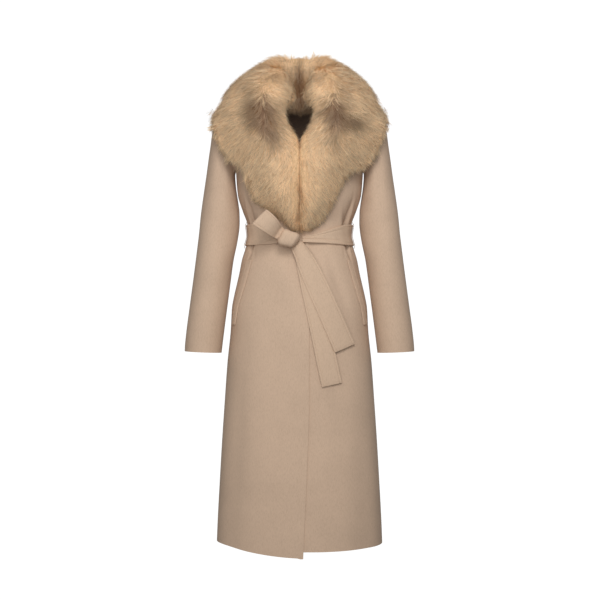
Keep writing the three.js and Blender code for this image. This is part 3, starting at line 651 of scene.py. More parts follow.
def wool_material(name, base):
    """Brushed double-faced wool: short nap combed down, fine fibre grain and a soft sheen."""
    m = Nodes(name, Roughness=0.95, Sheen_Weight=0.08, Sheen_Roughness=0.5)
    m.shader.inputs["Specular IOR Level"].default_value = 0.18
    m.shader.inputs["Sheen Tint"].default_value = (1.0, 0.93, 0.85, 1.0)
    dark = tuple(c * 0.95 for c in base[:3]) + (1.0,)
    light = tuple(min(1, c * 1.04) for c in base[:3]) + (1.0,)
    patch = m.noise(9.0, 3.0, 0.55)
    fibre = m.noise(520.0, 4.0, 0.7, stretch=(1.0, 1.0, 0.28))
    grain = m.noise(1500.0, 2.0, 0.6)
    tone = m.ramp(patch, [(0.3, dark), (0.5, base), (0.72, light)])
    fleck = m.ramp(fibre, [(0.32, (0.86, 0.85, 0.84, 1)), (0.52, (1, 1, 1, 1)),
                           (0.7, (1.07, 1.06, 1.05, 1))])
    m.link(m.mix(0.75, tone, fleck, "MULTIPLY"), m.shader.inputs["Base Color"])
    nap = m.bump(fibre, 0.42, 0.0009)
    fine = m.bump(grain, 0.25, 0.0004, nap)
    m.link(m.bump(m.noise(60.0, 3.0, 0.6, stretch=(1.0, 1.0, 0.5)), 0.22, 0.0022, fine),
           m.shader.inputs["Normal"])
    return m.material


def fur_material():
    """Hair: each strand's colour, dark at its root and pale at its tip, with painted shade where the hair
    parts, at the joint of the halves and inside the neck.
    """
    m = Nodes("long_pile", Roughness=0.6, Sheen_Weight=0.12, Sheen_Roughness=0.6)
    m.shader.inputs["Specular IOR Level"].default_value = 0.3
    m.shader.inputs["Sheen Tint"].default_value = (1.0, 0.86, 0.7, 1.0)
    colour = m.add("ShaderNodeAttribute", attribute_name=SHADE, attribute_type="GEOMETRY")
    vary = m.ramp(m.noise(26.0, 3.0, 0.6), [(0.3, (0.86, 0.85, 0.84, 1)), (0.7, (1.06, 1.05, 1.04, 1))])
    m.link(m.mix(1.0, colour.outputs["Color"], vary, "MULTIPLY"), m.shader.inputs["Base Color"])
    return m.material


def pelt_material():
    """Dense underfur seen between the strands."""
    m = Nodes("underfur", Roughness=0.95)
    m.shader.inputs["Specular IOR Level"].default_value = 0.1
    shade = m.add("ShaderNodeAttribute", attribute_name=SHADE, attribute_type="GEOMETRY")
    tone = m.ramp(m.noise(160.0, 4.0, 0.7), [(0.3, (0.7, 0.66, 0.62, 1)), (0.7, (1.1, 1.1, 1.1, 1))])
    m.link(m.mix(1.0, shade.outputs["Color"], tone, "MULTIPLY"), m.shader.inputs["Base Color"])
    m.link(m.bump(m.noise(420.0, 3.0, 0.7), 0.8, 0.003), m.shader.inputs["Normal"])
    return m.material


def dark_inside_material():
    """The shaded inside of the back, seen in the neck opening, in a dark brown much darker than the wool.
    """
    m = Nodes("dark_neck_inside", Roughness=0.6, Sheen_Weight=0.1)
    tone = m.ramp(m.noise(300.0, 3.0, 0.6), [(0.3, srgb(98, 74, 55)), (0.7, srgb(122, 94, 71))])
    m.link(tone, m.shader.inputs["Base Color"])
    m.link(m.bump(m.noise(900.0, 2.0, 0.5), 0.2, 0.0005), m.shader.inputs["Normal"])
    return m.material


SHADE = "hair"
WOOL = wool_material("brushed_wool", srgb(204, 177, 153))
BELT_WOOL = wool_material("belt_wool", srgb(206, 179, 154))
FUR = fur_material()
PELT = pelt_material()
DARK_INSIDE = dark_inside_material()


# The panels of the body.

def fine_rows():
    """Heights of the panels' rows, closest round the armholes and the belt."""
    arm = ARM_MID + ARM_HALF * np.cos(np.linspace(0, math.pi, 23))
    neck = np.linspace(NECK_TOP, SHOULDER, 11)[:-1]
    waist = np.arange(UNDERARM - 5, -520, -5)
    skirt = np.linspace(-528, HEM, 58)
    return np.concatenate([neck, arm, waist, skirt])


ROWS = fine_rows()


def lean_to_hem(z, hem):
    """Heights below the start of the hem's curve, drawn out to reach the hem."""
    low = HEM_START + (z - HEM_START) * (hem - HEM_START) / (HEM - HEM_START)
    return np.where(z > HEM_START, z, low)


def hem_right(deg):
    """The upper front's hem, which drops to a point at its free edge."""
    return HEM_FRONT_RIGHT - HEM_POINT * smooth((75 - np.abs(deg)) / 90) - np.where(deg > 0, 2.0, 0.0)


def hem_left(deg):
    return HEM_FRONT_LEFT - HEM_CURVE * smooth((90 - deg) / 90)


def hem_back(deg):
    return HEM - np.cos(np.radians(deg))


def seam_turn(z):
    return np.where(beside_arm(z), 0.0, SEAM_TURN)


def back_deg(z):
    """The angle of the back's edge on the wearer's left."""
    z = np.asarray(z, float)
    return np.where(beside_arm(z), 180 - outer_deg(z), 90 + seam_turn(z))


def panel(columns, start, end, hem, inset):
    """The wall of one panel between two edges, set in by a distance where it runs under another."""
    t = np.linspace(0, 1, columns + 1)[None, :]
    deg = mix(start(ROWS)[:, None], end(ROWS)[:, None], t)
    z = lean_to_hem(ROWS[:, None], hem(deg))
    p = body_point(deg, z)
    n = body_normal(deg, z)
    under = inset(p[..., 0], z)[..., None]
    return wall_mesh(p - n * under, p - n * (under + WALL))


def flush(x, z):
    """A panel that nothing covers isn't set in."""
    return np.zeros(np.broadcast(x, z).shape)


def under_right(x, z):
    """The left front lies inside the right one wherever the right one covers it."""
    edge = read(RIGHT_EDGE, "z", z, "x")
    return (WALL + LAP_GAP) * (1 - smooth((x - edge - 7) / 40)) * smooth((-150 - z) / 25)


def right_edge(z):
    return deg_at(read(RIGHT_EDGE, "z", z, "x"), z)


def left_edge(z):
    return deg_at(read(LEFT_EDGE, "z", z, "x"), z)


def side_edge(z):
    return outer_deg(z) - seam_turn(z)


front_right = cloth_piece(
    "front_right", panel(74, right_edge, lambda z: -side_edge(z), hem_right, flush), WOOL)
front_left = cloth_piece("front_left", panel(78, left_edge, side_edge, hem_left, under_right), WOOL)
back = cloth_piece("back", panel(88, back_deg, lambda z: 360 - back_deg(z), hem_back, flush), WOOL)


# The sleeves. A turn of 0 is at the underarm, 180 at the top of the shoulder.
SLEEVE_AROUND = 66
SLEEVE_ALONG = 84


def armhole_ring(turns, side):
    """The sleeve's first ring, a little outside the armhole."""
    a = np.radians(turns)
    z = ARM_MID - ARM_HALF * np.cos(a)
    x = arm_share(z) * read(BODY, "z", z, "half")
    deg = deg_at(x, z)
    p = body_point(np.where(np.sin(a) >= 0, deg, 180 - deg), z)
    return np.stack([side * (p[:, 0] + SLEEVE_GAP), p[:, 1], p[:, 2]], axis=-1)


def sleeve_fold(turns, row):
    """How deep the folds and creases are round one ring."""
    total = np.zeros_like(turns)
    for tab in (SLEEVE_FOLDS, SLEEVE_CREASES):
        slant = tab.get("slant", np.zeros(len(tab["turn"])))
        for i, turn in enumerate(tab["turn"]):
            off = row - tab["row"][i]
            t = wrap(turns - turn - slant[i] * off) / tab["wideTurn"][i]
            r = off / tab["wideRow"][i]
            total = total + tab["deep"][i] * np.exp(-t * t - r * r)
    return total


def sleeve_ring(turns, row, side, grow):
    v = {k: float(between(SLEEVE, np.array(row, float), k)) for k in SLEEVE}
    a = np.radians(turns)
    c = -np.cos(a)
    length = math.hypot(v["outX"] - v["inX"], v["outZ"] - v["inZ"])
    out = grow - sleeve_fold(turns, row)
    across = (1 + c * (1 + out / (length / 2))) / 2
    deep = v["deep"] * (1 + out / v["deep"])
    x = mix(v["inX"], v["outX"], across)
    z = mix(v["inZ"], v["outZ"], across)
    return np.stack([side * x, v["y"] - deep * np.sin(a), z], axis=-1)


def sleeve_rings(side, grow):
    """Rings from the armhole to the cuff; those near the shoulder keep some of the armhole's shape."""
    turns = np.arange(SLEEVE_AROUND) * 360 / SLEEVE_AROUND
    loop = armhole_ring(turns, side)
    outward = loop - np.array([0.0, 2.0, ARM_MID])
    outward[:, 0] = 0
    outward /= np.linalg.norm(outward, axis=-1, keepdims=True)
    rings = [loop + outward * grow]
    last = len(SLEEVE["outX"]) - 1
    for row in last * np.arange(SLEEVE_ALONG + 1) / SLEEVE_ALONG:
        ring = sleeve_ring(turns, row, side, grow)
        keep = 0.5 * max(0.0, 1 - row / 3)
        ring[:, 1] += (loop[:, 1] - sleeve_ring(turns, row, side, 0)[:, 1]) * keep
        rings.append(ring)
    return np.array(rings)


for side, name in ((-1, "right"), (1, "left")):
    cloth_piece("sleeve_" + name, wall_mesh(sleeve_rings(side, 0), sleeve_rings(side, -WALL), True), WOOL)


# The belt, its tails, loop and knot.
# Share across a strip of each column: closer near its edges, where its stitching runs.
STRIP_COLUMNS = np.array([0, 0.02, 0.06, 0.085, 0.1, 0.115, 0.15, 0.25, 0.4, 0.5,
                          0.6, 0.75, 0.85, 0.885, 0.9, 0.915, 0.94, 0.98, 1.0])
STITCH = 0.1
BAND_AROUND = 170
TAIL_ROWS = 90
TAIL_START = 0.15
LOOP_ROWS = 96
KNOT_ROWS = 60
KNOT_AROUND = 96


def belt_mesh():
    """The band, with soft folds gathered towards the knot at its swollen end."""
    deg = np.linspace(BELT["deg"][0] + 2, BELT["deg"][-1] + 3, BAND_AROUND)[:, None]
    t = np.unique(np.concatenate([STRIP_COLUMNS, np.linspace(0.15, 0.85, 19)]))[None, :]
    z = mix(read(BELT, "deg", deg, "low"), read(BELT, "deg", deg, "top"), t)
    swell = read(BELT, "deg", deg, "swell")
    gather = smooth(swell / 2.5)
    lower_fold = 1.7 * np.exp(-((t - 0.08 * swell) / 0.045) ** 2)
    upper_fold = 1.1 * np.exp(-((t - 0.8) / 0.04) ** 2)
    ridge = swell * (0.6 + 0.15 * smooth((0.08 * swell - t) / 0.1)) - gather * (lower_fold + upper_fold)
    soft = 0.5 * np.sin(deg * 0.31 + 3 * t) * np.sin(deg * 0.11)
    rim = np.minimum(t, 1 - t)
    edge = 1.1 * (1 - np.minimum(1, rim / 0.06)) ** 2
    stitch = 0.7 * np.exp(-((rim - STITCH) / 0.013) ** 2) * (1 - gather)
    outer = over_body(deg, z, BELT_LIFT + BELT_THICK + ridge + soft - edge - stitch)
    return wall_mesh(outer, over_body(deg, z, BELT_LIFT))


def strip_profile(t, end_distance):
    """How far a strip's face drops at its edges and in its stitch line."""
    edge = np.minimum(t, 1 - t)
    groove = np.exp(-((edge - STITCH) / 0.012) ** 2)
    end_groove = np.exp(-((end_distance - 6) / 0.9) ** 2) * (edge > 0.08)
    corner = np.clip(1 - edge / 0.03, 0, 1) ** 2 + np.clip(1 - end_distance / 1.5, 0, 1) ** 2
    return 0.85 * np.maximum(groove, end_groove) + 0.9 * np.minimum(corner, 1)


def tail_mesh(tab, wave, phase):
    """A hanging end of the belt: cupped and gathered at the knot, flat and slightly waved below."""
    row = np.linspace(TAIL_START, len(tab["x"]) - 1, TAIL_ROWS)
    x = between(tab, row, "x")
    z = between(tab, row, "z")
    dx = np.gradient(x)
    dz = np.gradient(z)
    length = np.hypot(dx, dz)
    travelled = np.concatenate([[0], np.cumsum(np.hypot(np.diff(x), np.diff(z)))])[:, None]
    t = STRIP_COLUMNS[None, :]
    s = 2 * t - 1
    half = between(tab, row, "wide")[:, None] / 2
    px = x[:, None] - (dz / length)[:, None] * s * half
    pz = z[:, None] + (dx / length)[:, None] * s * half
    cup = between(tab, row, "cup")[:, None]
    up = between(tab, row, "lift")[:, None] + cup * (1 - s * s)
    up = up + wave * np.sin(travelled * 0.021 + phase + 0.8 * s) * smooth(travelled / 80)
    up = up + 1.6 * smooth(1 - travelled / 55) * np.cos(s * 7 + phase)
    deg = deg_at(px, pz)
    drop = strip_profile(t, travelled[-1] - travelled)
    return wall_mesh(over_body(deg, pz, up + STRIP - drop), over_body(deg, pz, up + 0.2 * drop))


def across_strip(turn):
    """Unit vectors across a strip that leans by this turn in the plane of the front."""
    lean = np.radians(turn)
    return np.stack([np.sin(-lean), 0 * lean, np.cos(lean)], axis=-1)


def loop_mesh():
    """The bow loop: a strip out from the knot and back, pleated where it enters."""
    row = np.linspace(0.25, len(LOOP["x"]) - 1.25, LOOP_ROWS)
    p = np.stack([between(LOOP, row, k) for k in ("x", "y", "z")], axis=-1)
    along = np.gradient(p, axis=0)
    along /= np.linalg.norm(along, axis=-1, keepdims=True)
    side = across_strip(between(LOOP, row, "turn"))
    side -= along * (side * along).sum(axis=-1, keepdims=True)
    side /= np.linalg.norm(side, axis=-1, keepdims=True)
    normal = np.cross(along, side)[:, None, :]
    half = between(LOOP, row, "half")[:, None, None]
    s = (2 * STRIP_COLUMNS - 1)[None, :, None]
    drop = strip_profile(STRIP_COLUMNS[None, :], np.full((LOOP_ROWS, 1), 50.0))[..., None]
    near = smooth(1 - np.minimum(row, row[-1] - row) / 3.0)[:, None, None]
    pleat = 0.7 * near * np.cos(s * 6.5)
    middle = p[:, None, :] + side[:, None, :] * s * half + normal * pleat
    return wall_mesh(middle + normal * (STRIP / 2 - drop), middle - normal * (STRIP / 2 - drop))


def knot_mesh():
    """The knot, with soft folds of the wrapped strip that fan out to its lower corner."""
    row = np.linspace(0, len(KNOT["x"]) - 1, KNOT_ROWS)
    centre = np.stack([between(KNOT, row, k) for k in ("x", "y", "z")], axis=-1)
    side = across_strip(between(KNOT, row, "turn"))
    a = np.linspace(0, 2 * math.pi, KNOT_AROUND, endpoint=False)
    c = np.sign(np.cos(a)) * np.abs(np.cos(a)) ** KNOT_POWER
    s = np.sign(np.sin(a)) * np.abs(np.sin(a)) ** KNOT_POWER
    t = (row / row[-1])[:, None]
    fold = 1.5 * np.sin(math.pi * t) * np.sin(9.5 * t + 1.3 * c[None, :]) - 0.8
    up = between(KNOT, row, "up")[:, None] + fold
    deep = between(KNOT, row, "deep")[:, None] + fold
    p = centre[:, None, :] + side[:, None, :] * (up * c)[..., None]
    p[..., 1] += deep * s
    return loft_mesh(p)


belt = cloth_piece("belt_band", belt_mesh(), BELT_WOOL)
tail_back = cloth_piece("belt_tail_back", tail_mesh(TAIL_BACK, 0.5, 0.4), BELT_WOOL)
tail_front = cloth_piece("belt_tail_front", tail_mesh(TAIL_FRONT, 0.9, 2.0), BELT_WOOL)
loop = cloth_piece("belt_loop", loop_mesh(), BELT_WOOL)
knot = cloth_piece("belt_knot", knot_mesh(), BELT_WOOL, smooth_angle=70)


# The belt carriers, the pocket welts and the neck facing.

def carrier_mesh(side):
    """A narrow strip over the belt, held to the side seam at both ends."""
    t = np.linspace(0, 1, 60)[:, None]
    z = mix(CARRIER_TOP, CARRIER_LOW, t)
    out = CARRIER_GAP + smooth(np.minimum(t, 1 - t) * 9) * (BELT_THICK + CARRIER_OVER)
    j = np.linspace(-1, 1, 9)[None, :]
    deg = side * 90 + j * CARRIER_HALF_TURN
    return wall_mesh(over_body(deg, z, out + CARRIER_THICK - 0.4 * j ** 4), over_body(deg, z, out))


def welt_mesh(side):
    """A slanted pocket welt with a stitch groove along both edges."""
    z = np.linspace(WELT["z"][0], WELT["z"][-1], 90)[:, None]
    middle = deg_at(read(WELT, "z", z, "share") * read(BODY, "z", z, "half"), z)
    reach = np.linalg.norm(body_point(middle + 1, z) - body_point(middle - 1, z), axis=-1) / 2
    half = np.array([0.5, 0.7, 0.76, 0.82, 0.9, 0.97, 1])
    s = np.concatenate([-half[::-1], [0], half])[None, :]
    deg = side * (middle + s * WELT_HALF / reach)
    edge = 1 - np.abs(s)
    end = np.minimum(np.abs(z - WELT["z"][0]), np.abs(z - WELT["z"][-1]))
    groove = 1.1 * np.exp(-((edge - 0.24) / 0.045) ** 2)
    corner = np.clip(1 - edge / 0.08, 0, 1) ** 2 + np.clip(1 - end / 2, 0, 1) ** 2
    outer = on_body(deg, z, WELT_OUT - groove - np.minimum(corner, 1.0))
    return wall_mesh(outer, on_body(deg, z, WELT_IN))


def facing_mesh():
    """A thin facing on the inside of the back, below the neck."""
    z = np.linspace(FACING_TOP, FACING_LOW, 60)[:, None]
    t = np.linspace(0.25, 0.75, 41)[None, :]
    deg = mix(back_deg(z), 360 - back_deg(z), t)
    under = WALL + FACING_GAP
    return wall_mesh(on_body(deg, z, -under), on_body(deg, z, -under - FACING_THICK))


for side, name in ((-1, "right"), (1, "left")):
    cloth_piece("belt_carrier_" + name, carrier_mesh(side), BELT_WOOL)
    cloth_piece("pocket_welt_" + name, welt_mesh(side), WOOL)
facing_cloth = cloth_piece("neck_facing", facing_mesh(), DARK_INSIDE)


# The collar's pile. Hairs are ribbons that follow guide hairs marched over the collar's form.
FORM_VOXEL = 4.5
FORM_OUT = 2.6
JOINT_LAP = 0.3
NECK_MIDDLE_Y = 6
PELT_SINK = 8.0
GUIDES = 6000
GUIDE_STEPS = 6
GUIDE_LENGTHS = (42, 48)
STRANDS = 31000
STATIONS = (0.0, 0.38, 0.72, 1.0)
WIDTHS = (0.9, 1.0, 0.7, 0.0)
RIM_SHARE = 0.12
CLOTH_CLEARANCE = 6.5
ROOT_COLOUR = srgb(118, 80, 50)
BODY_COLOUR = srgb(250, 212, 166)
TIP_COLOUR = srgb(254, 230, 192)
# The colour of parted roots, also used as painted shade on the hair.
DARK_COLOUR = srgb(98, 60, 36)
# Depth of root and tip in the form, spread of the tips, shortest share of the length, how far the hairs
# draw together and stray, their width and how pale their tips are.
LONG = {"root": 22.0, "tip": 0.5, "loose": 2.6, "short": 0.45, "clump": 0.2, "wander": 2.0,
        "width": 0.72, "pale": 1.0}
SHORT = {"root": 18.0, "tip": 5.0, "loose": 2.4, "short": 0.3, "clump": 0.08, "wander": 2.0,
         "width": 0.95, "pale": 0.6}


def rest_mesh(obj):
    """Points and normals of an object's mesh, modifiers included, in millimetres, and its triangles."""
    graph = bpy.context.evaluated_depsgraph_get()
    mesh = bpy.data.meshes.new_from_object(obj.evaluated_get(graph))
    mesh.calc_loop_triangles()
    count = len(mesh.vertices)
    points = np.empty(count * 3)
    mesh.vertices.foreach_get("co", points)
    normals = np.empty(count * 3)
    mesh.vertices.foreach_get("normal", normals)
    triangles = np.empty(len(mesh.loop_triangles) * 3, dtype=np.int32)
    mesh.loop_triangles.foreach_get("vertices", triangles)
    bpy.data.meshes.remove(mesh)
    return points.reshape(-1, 3) / MM, normals.reshape(-1, 3), triangles.reshape(-1, 3)


def evened_form(node):
    """The collar's solid with its facets evened out: points, normals and triangles."""
    copy = bpy.data.objects.new("form", frame["nodes"][node].data.copy())
    bpy.context.scene.collection.objects.link(copy)
    remesh = copy.modifiers.new("even", "REMESH")
    remesh.mode = "VOXEL"
    remesh.voxel_size = FORM_VOXEL * MM
    relax = copy.modifiers.new("relax", "SMOOTH")
    relax.factor = 0.5
    relax.iterations = 8
    points, normals, triangles = rest_mesh(copy)
    bpy.data.objects.remove(copy)
    # Relaxing draws sharp rims in, so the form is moved out again, and drawn to the joint of the halves.
    points = points + normals * FORM_OUT
    away = np.abs(points[:, 0])
    meet = np.where(points[:, 1] < -60, smooth((-184 - points[:, 2]) / 20), 1.0)
    nearer = np.maximum(away - 6 * meet * smooth((20 - away) / 14), -JOINT_LAP)
    points[:, 0] = np.where(away < 20, np.sign(points[:, 0]) * nearer, points[:, 0])
    points[:, 1] -= 3.5 * meet * smooth((10 - away) / 8) * (normals[:, 1] < -0.1)
    return points, normals, triangles


def tree_of(points, triangles):
    return BVHTree.FromPolygons([tuple(p) for p in points], [tuple(int(i) for i in t) for t in triangles])


def cloth_tree():
    """All the wool that lies under or near the collar, to keep hair off it."""
    points = []
    triangles = []
    start = 0
    for name in ("front_right", "front_left", "back", "sleeve_right", "sleeve_left"):
        p, _, t = rest_mesh(bpy.data.objects[name + "_cloth"])
        points.append(p)
        triangles.append(t + start)
        start += len(p)
    return tree_of(np.concatenate(points), np.concatenate(triangles))


def part_line(z):
    """How far from the middle the hair parts on the front, at each height."""
    return np.interp(z, [-190, -110, -40, 10, 60], [84, 92, 86, 62, 50])


def flow(p, side):
    """The way the hair is combed at points on the collar."""
    x, y, z = p[:, 0], p[:, 1], p[:, 2]
    away = np.abs(x)
    # The low tip's middle wanders, so that the hair of the two halves crosses its joint.
    zero = np.zeros_like(x)
    ragged = 6 * np.sin(z * 0.11 + side) + 5 * np.sin(z * 0.043 + 2 * side)
    sway = 12 + 20 * np.sin(z * 0.055) + 6 * np.sin(z * 0.14)
    out = np.tanh((away - part_line(z) - ragged) / mix(30, 62, smooth((z + 60) / 50)))
    outer = smooth((out + 1) / 2)
    fall_out = -0.3 - 0.7 * smooth((-110 - z) / 90) + 1.0 * smooth((z + 30) / 60)
    fall_in = -0.45 - 0.5 * smooth((-90 - z) / 80) + 0.35 * smooth((z - 10) / 40)
    front = np.stack([side * out, zero - 0.15, mix(fall_in, fall_out, outer)], axis=-1)
    radius = np.hypot(x, y - NECK_MIDDLE_Y) + 1e-6
    ring = np.stack([x / radius, (y - NECK_MIDDLE_Y) / radius, zero - 0.35], axis=-1)
    front = mix(front, ring, 0.75 * smooth((z - 5) / 40)[:, None])
    low = smooth((-165 - z) / 70)[:, None]
    down = np.stack([0.85 * np.tanh((x + sway) / 34), zero, zero - 1.0], axis=-1)
    front = mix(front, down, low)
    drop = np.stack([zero, zero, 0.15 - 1.6 * smooth((45 - z) / 60)], axis=-1)
    behind = ring + drop
    within = (smooth((52 - radius) / 12) * smooth((52 - z) / 25))[:, None]
    rising = np.stack([-0.3 * x / radius, zero - 0.2, np.where(z > -15, 1.0, -1.0)], axis=-1)
    behind = mix(behind, rising, within * (y > -40)[:, None])
    field = mix(front, behind, smooth((y + 30) / 50)[:, None])
    return field / np.linalg.norm(field, axis=-1, keepdims=True)


def darkness(p):
    """Where the hair is darkened: its dark roots where it parts, with painted shade in the partings and
    in the valley between the halves, and painted shade inside the ring of the neck.
    """
    total = np.zeros(len(p))
    for i in range(len(DARK["x"])):
        dx = (p[:, 0] - DARK["x"][i]) / DARK["wide"][i]
        dz = (p[:, 2] - DARK["z"][i]) / DARK["high"][i]
        total += DARK["deep"][i] * np.exp(-dx * dx - dz * dz) * (p[:, 1] < 70)
    # Painted shade: the hair deep inside the ring of the neck is darkened as if in shadow.
    radius = np.hypot(p[:, 0], p[:, 1] - NECK_MIDDLE_Y)
    within = smooth((62 - radius) / 14) * smooth((p[:, 1] + 5) / 20) * smooth((30 - p[:, 2]) / 40)
    return np.clip(total + 0.75 * within, 0, 1)


def parting(p):
    """Near 1 where the hair parts on the front, and at the joint of the halves."""
    line = np.exp(-((np.abs(p[:, 0]) - part_line(p[:, 2])) / 15) ** 2) * smooth((p[:, 2] + 190) / 30)
    line = line * smooth((-30 - p[:, 2]) / 30)
    joint = np.exp(-(p[:, 0] / 9) ** 2)
    return np.clip(line * (p[:, 1] < 20) + joint, 0, 1)


def sample(points, normals, triangles, keep, count):
    """Random spots on the kept triangles, spread by area, with their normals and triangles."""
    a, b, c = (points[triangles[:, i]] for i in range(3))
    area = np.linalg.norm(np.cross(b - a, c - a), axis=-1) * keep
    pick = rng.choice(len(triangles), size=count, p=area / area.sum())
    u = rng.random(count)
    v = rng.random(count)
    flip = u + v > 1
    u = np.where(flip, 1 - u, u)[:, None]
    v = np.where(flip, 1 - v, v)[:, None]
    spot = a[pick] * (1 - u - v) + b[pick] * u + c[pick] * v
    na, nb, nc = (normals[triangles[pick, i]] for i in range(3))
    n = na * (1 - u - v) + nb * u + nc * v
    return spot, n / np.linalg.norm(n, axis=-1, keepdims=True), pick


def march(tree, spots, normals, side, length):
    """Guide hairs: paths that follow the comb along the form, with the form's normal at each point."""
    path = [spots]
    lean = [normals]
    step = (length / (GUIDE_STEPS - 1))[:, None]
    p = spots
    n = normals
    twist = rng.normal(0, 0.15, len(spots))[:, None]
    for _ in range(GUIDE_STEPS - 1):
        f = flow(p, side)
        f = f * np.cos(twist) + np.cross(n, f) * np.sin(twist)
        f = f - n * (f * n).sum(axis=-1, keepdims=True)
        f /= np.linalg.norm(f, axis=-1, keepdims=True) + 1e-6
        ahead = p + f * step
        landed = np.empty_like(ahead)
        facing = np.empty_like(ahead)
        for i, q in enumerate(ahead):
            near, normal, _, _ = tree.find_nearest(Vector(q))
            landed[i] = near
            facing[i] = normal
        # Over a sharp edge, a rim or the joint of the halves, the hair runs on straight but shorter.
        joint = (np.abs(p[:, 0]) < 8) & (p[:, 1] < 0)
        turned = ((facing * n).sum(axis=-1) < np.where(joint, 0.9, 0.3))[:, None]
        p = np.where(turned, p + f * step * np.where(joint, 1.0, 0.5)[:, None], mix(ahead, landed, 0.85))
        n = np.where(turned, n, facing * 0.5 + n * 0.5)
        n /= np.linalg.norm(n, axis=-1, keepdims=True)
        path.append(p)
        lean.append(n)
    return np.array(path), np.array(lean)


def hair_lines(guides, settings):
    """Points and leans of each hair at its four stations, the darkness, tone and waywardness of each."""
    form = guides["form"]
    spot, _, pick = sample(form["points"], form["normals"], form["triangles"], form["keep"], STRANDS)
    # Each hair follows one of the four nearest guides, so that no tufts stand apart at the rim.
    choice = rng.integers(0, 4, STRANDS)
    owner = np.array([guides["finder"].find_n(Vector(s), 4)[c][1] for s, c in zip(spot, choice)])
    path = guides["path"][:, owner]
    lean = guides["lean"][:, owner]
    offset = spot - path[0]
    reach = rng.uniform(settings["short"], 1.0, STRANDS)
    root = np.minimum(settings["root"] * (1 - 0.85 * parting(spot)), 0.62 * form["thick"][pick])
    tip = rng.normal(settings["tip"], settings["loose"], STRANDS)
    tone = rng.normal(1.0, 0.16, STRANDS)
    clump = np.clip(rng.normal(settings["clump"], 0.15, STRANDS), 0, 1)
    wander = rng.normal(0, settings["wander"], (STRANDS, 3))
    index = np.arange(STRANDS)
    line = []
    for share in STATIONS:
        along = share * reach * (GUIDE_STEPS - 1)
        low = np.clip(along.astype(int), 0, GUIDE_STEPS - 2)
        part = (along - low)[:, None]
        p = path[low, index] * (1 - part) + path[low + 1, index] * part
        n = lean[low, index] * (1 - part) + lean[low + 1, index] * part
        depth = root * (1 - share) ** 1.6 + tip * share
        pull = 1 - clump * share ** 1.5
        line.append((p + offset * pull[:, None] - n * depth[:, None] + wander * share ** 2, n))
    return line, darkness(spot), tone, wander


def strands(name, guides, settings):
    """One layer of hair: a tapered ribbon of two quads and a tip for each hair."""
    line, dark, tone, wander = hair_lines(guides, settings)
    verts = np.empty((STRANDS, 7, 3))
    shade = np.empty((STRANDS, 7, 4))
    facing = np.empty((STRANDS, 7, 3))
    roll = rng.normal(0, 0.5, STRANDS)[:, None]
    for step, (q, n) in enumerate(line):
        ahead = line[min(step + 1, 3)][0] - line[max(step - 1, 0)][0]
        across = np.cross(ahead, n + wander * 0.12)
        across /= np.linalg.norm(across, axis=-1, keepdims=True) + 1e-9
        across = across * np.cos(roll) + n * np.sin(roll)
        half = settings["width"] * WIDTHS[step] / 2
        corners = (2 * step, 2 * step + 1) if step < 3 else (6,)
        for corner, sign in zip(corners, (-1, 1)):
            verts[:, corner] = q + across * half * sign
            shade[:, corner] = hair_colour(STATIONS[step], dark, tone, settings["pale"])
            facing[:, corner] = n + wander * 0.05
    mesh = ribbon_mesh(name, verts)
    paint(mesh, shade)
    facing = facing.reshape(-1, 3)
    facing /= np.linalg.norm(facing, axis=-1, keepdims=True)
    mesh.normals_split_custom_set_from_vertices(facing.tolist())
    mesh.materials.append(FUR)
    add_object(name, mesh)


def ribbon_mesh(name, verts):
    """A mesh of separate ribbons, each with seven points."""
    count = len(verts)
    first = np.arange(count)[:, None] * 7
    quads = np.concatenate([first + [0, 1, 3, 2], first + [2, 3, 5, 4]])
    tips = first + [4, 5, 6]
    corners = np.concatenate([quads.ravel(), tips.ravel()])
    starts = np.concatenate([np.arange(len(quads)) * 4, len(quads) * 4 + np.arange(count) * 3])
    mesh = bpy.data.meshes.new(name)
    mesh.vertices.add(count * 7)
    mesh.vertices.foreach_set("co", (verts * MM).ravel())
    mesh.loops.add(len(corners))
    mesh.loops.foreach_set("vertex_index", corners.astype(np.int32))
    mesh.polygons.add(len(starts))
    mesh.polygons.foreach_set("loop_start", starts.astype(np.int32))
    mesh.polygons.foreach_set("use_smooth", np.ones(len(starts), dtype=bool))
    mesh.update(calc_edges=True)
    return mesh


def paint(mesh, shade):
    """Gives each point of the mesh its own hair colour."""
    colour = mesh.attributes.new(SHADE, "FLOAT_COLOR", "POINT")
    colour.data.foreach_set("color", shade.ravel())


def hair_colour(k, dark, tone, pale):
    """Colours at a share k of the hair's length: dark roots, pale tips, and brown where the hair parts,
    with painted shade in the partings, at the joint of the halves and inside the neck.
    """
    if k < 0.35:
        base = mix(np.array(ROOT_COLOUR), np.array(BODY_COLOUR), k / 0.35)
    else:
        base = mix(np.array(BODY_COLOUR), np.array(TIP_COLOUR), (k - 0.35) / 0.65 * pale)
    # The dark of parted roots and painted shade, a little less towards the tip.
    root_and_shade = np.clip(dark * (1 - 0.3 * k), 0, 1)[:, None]
    out = mix(base * tone[:, None], np.array(DARK_COLOUR) * tone[:, None], 0.9 * root_and_shade)
    out[:, 3] = 1.0
    return out


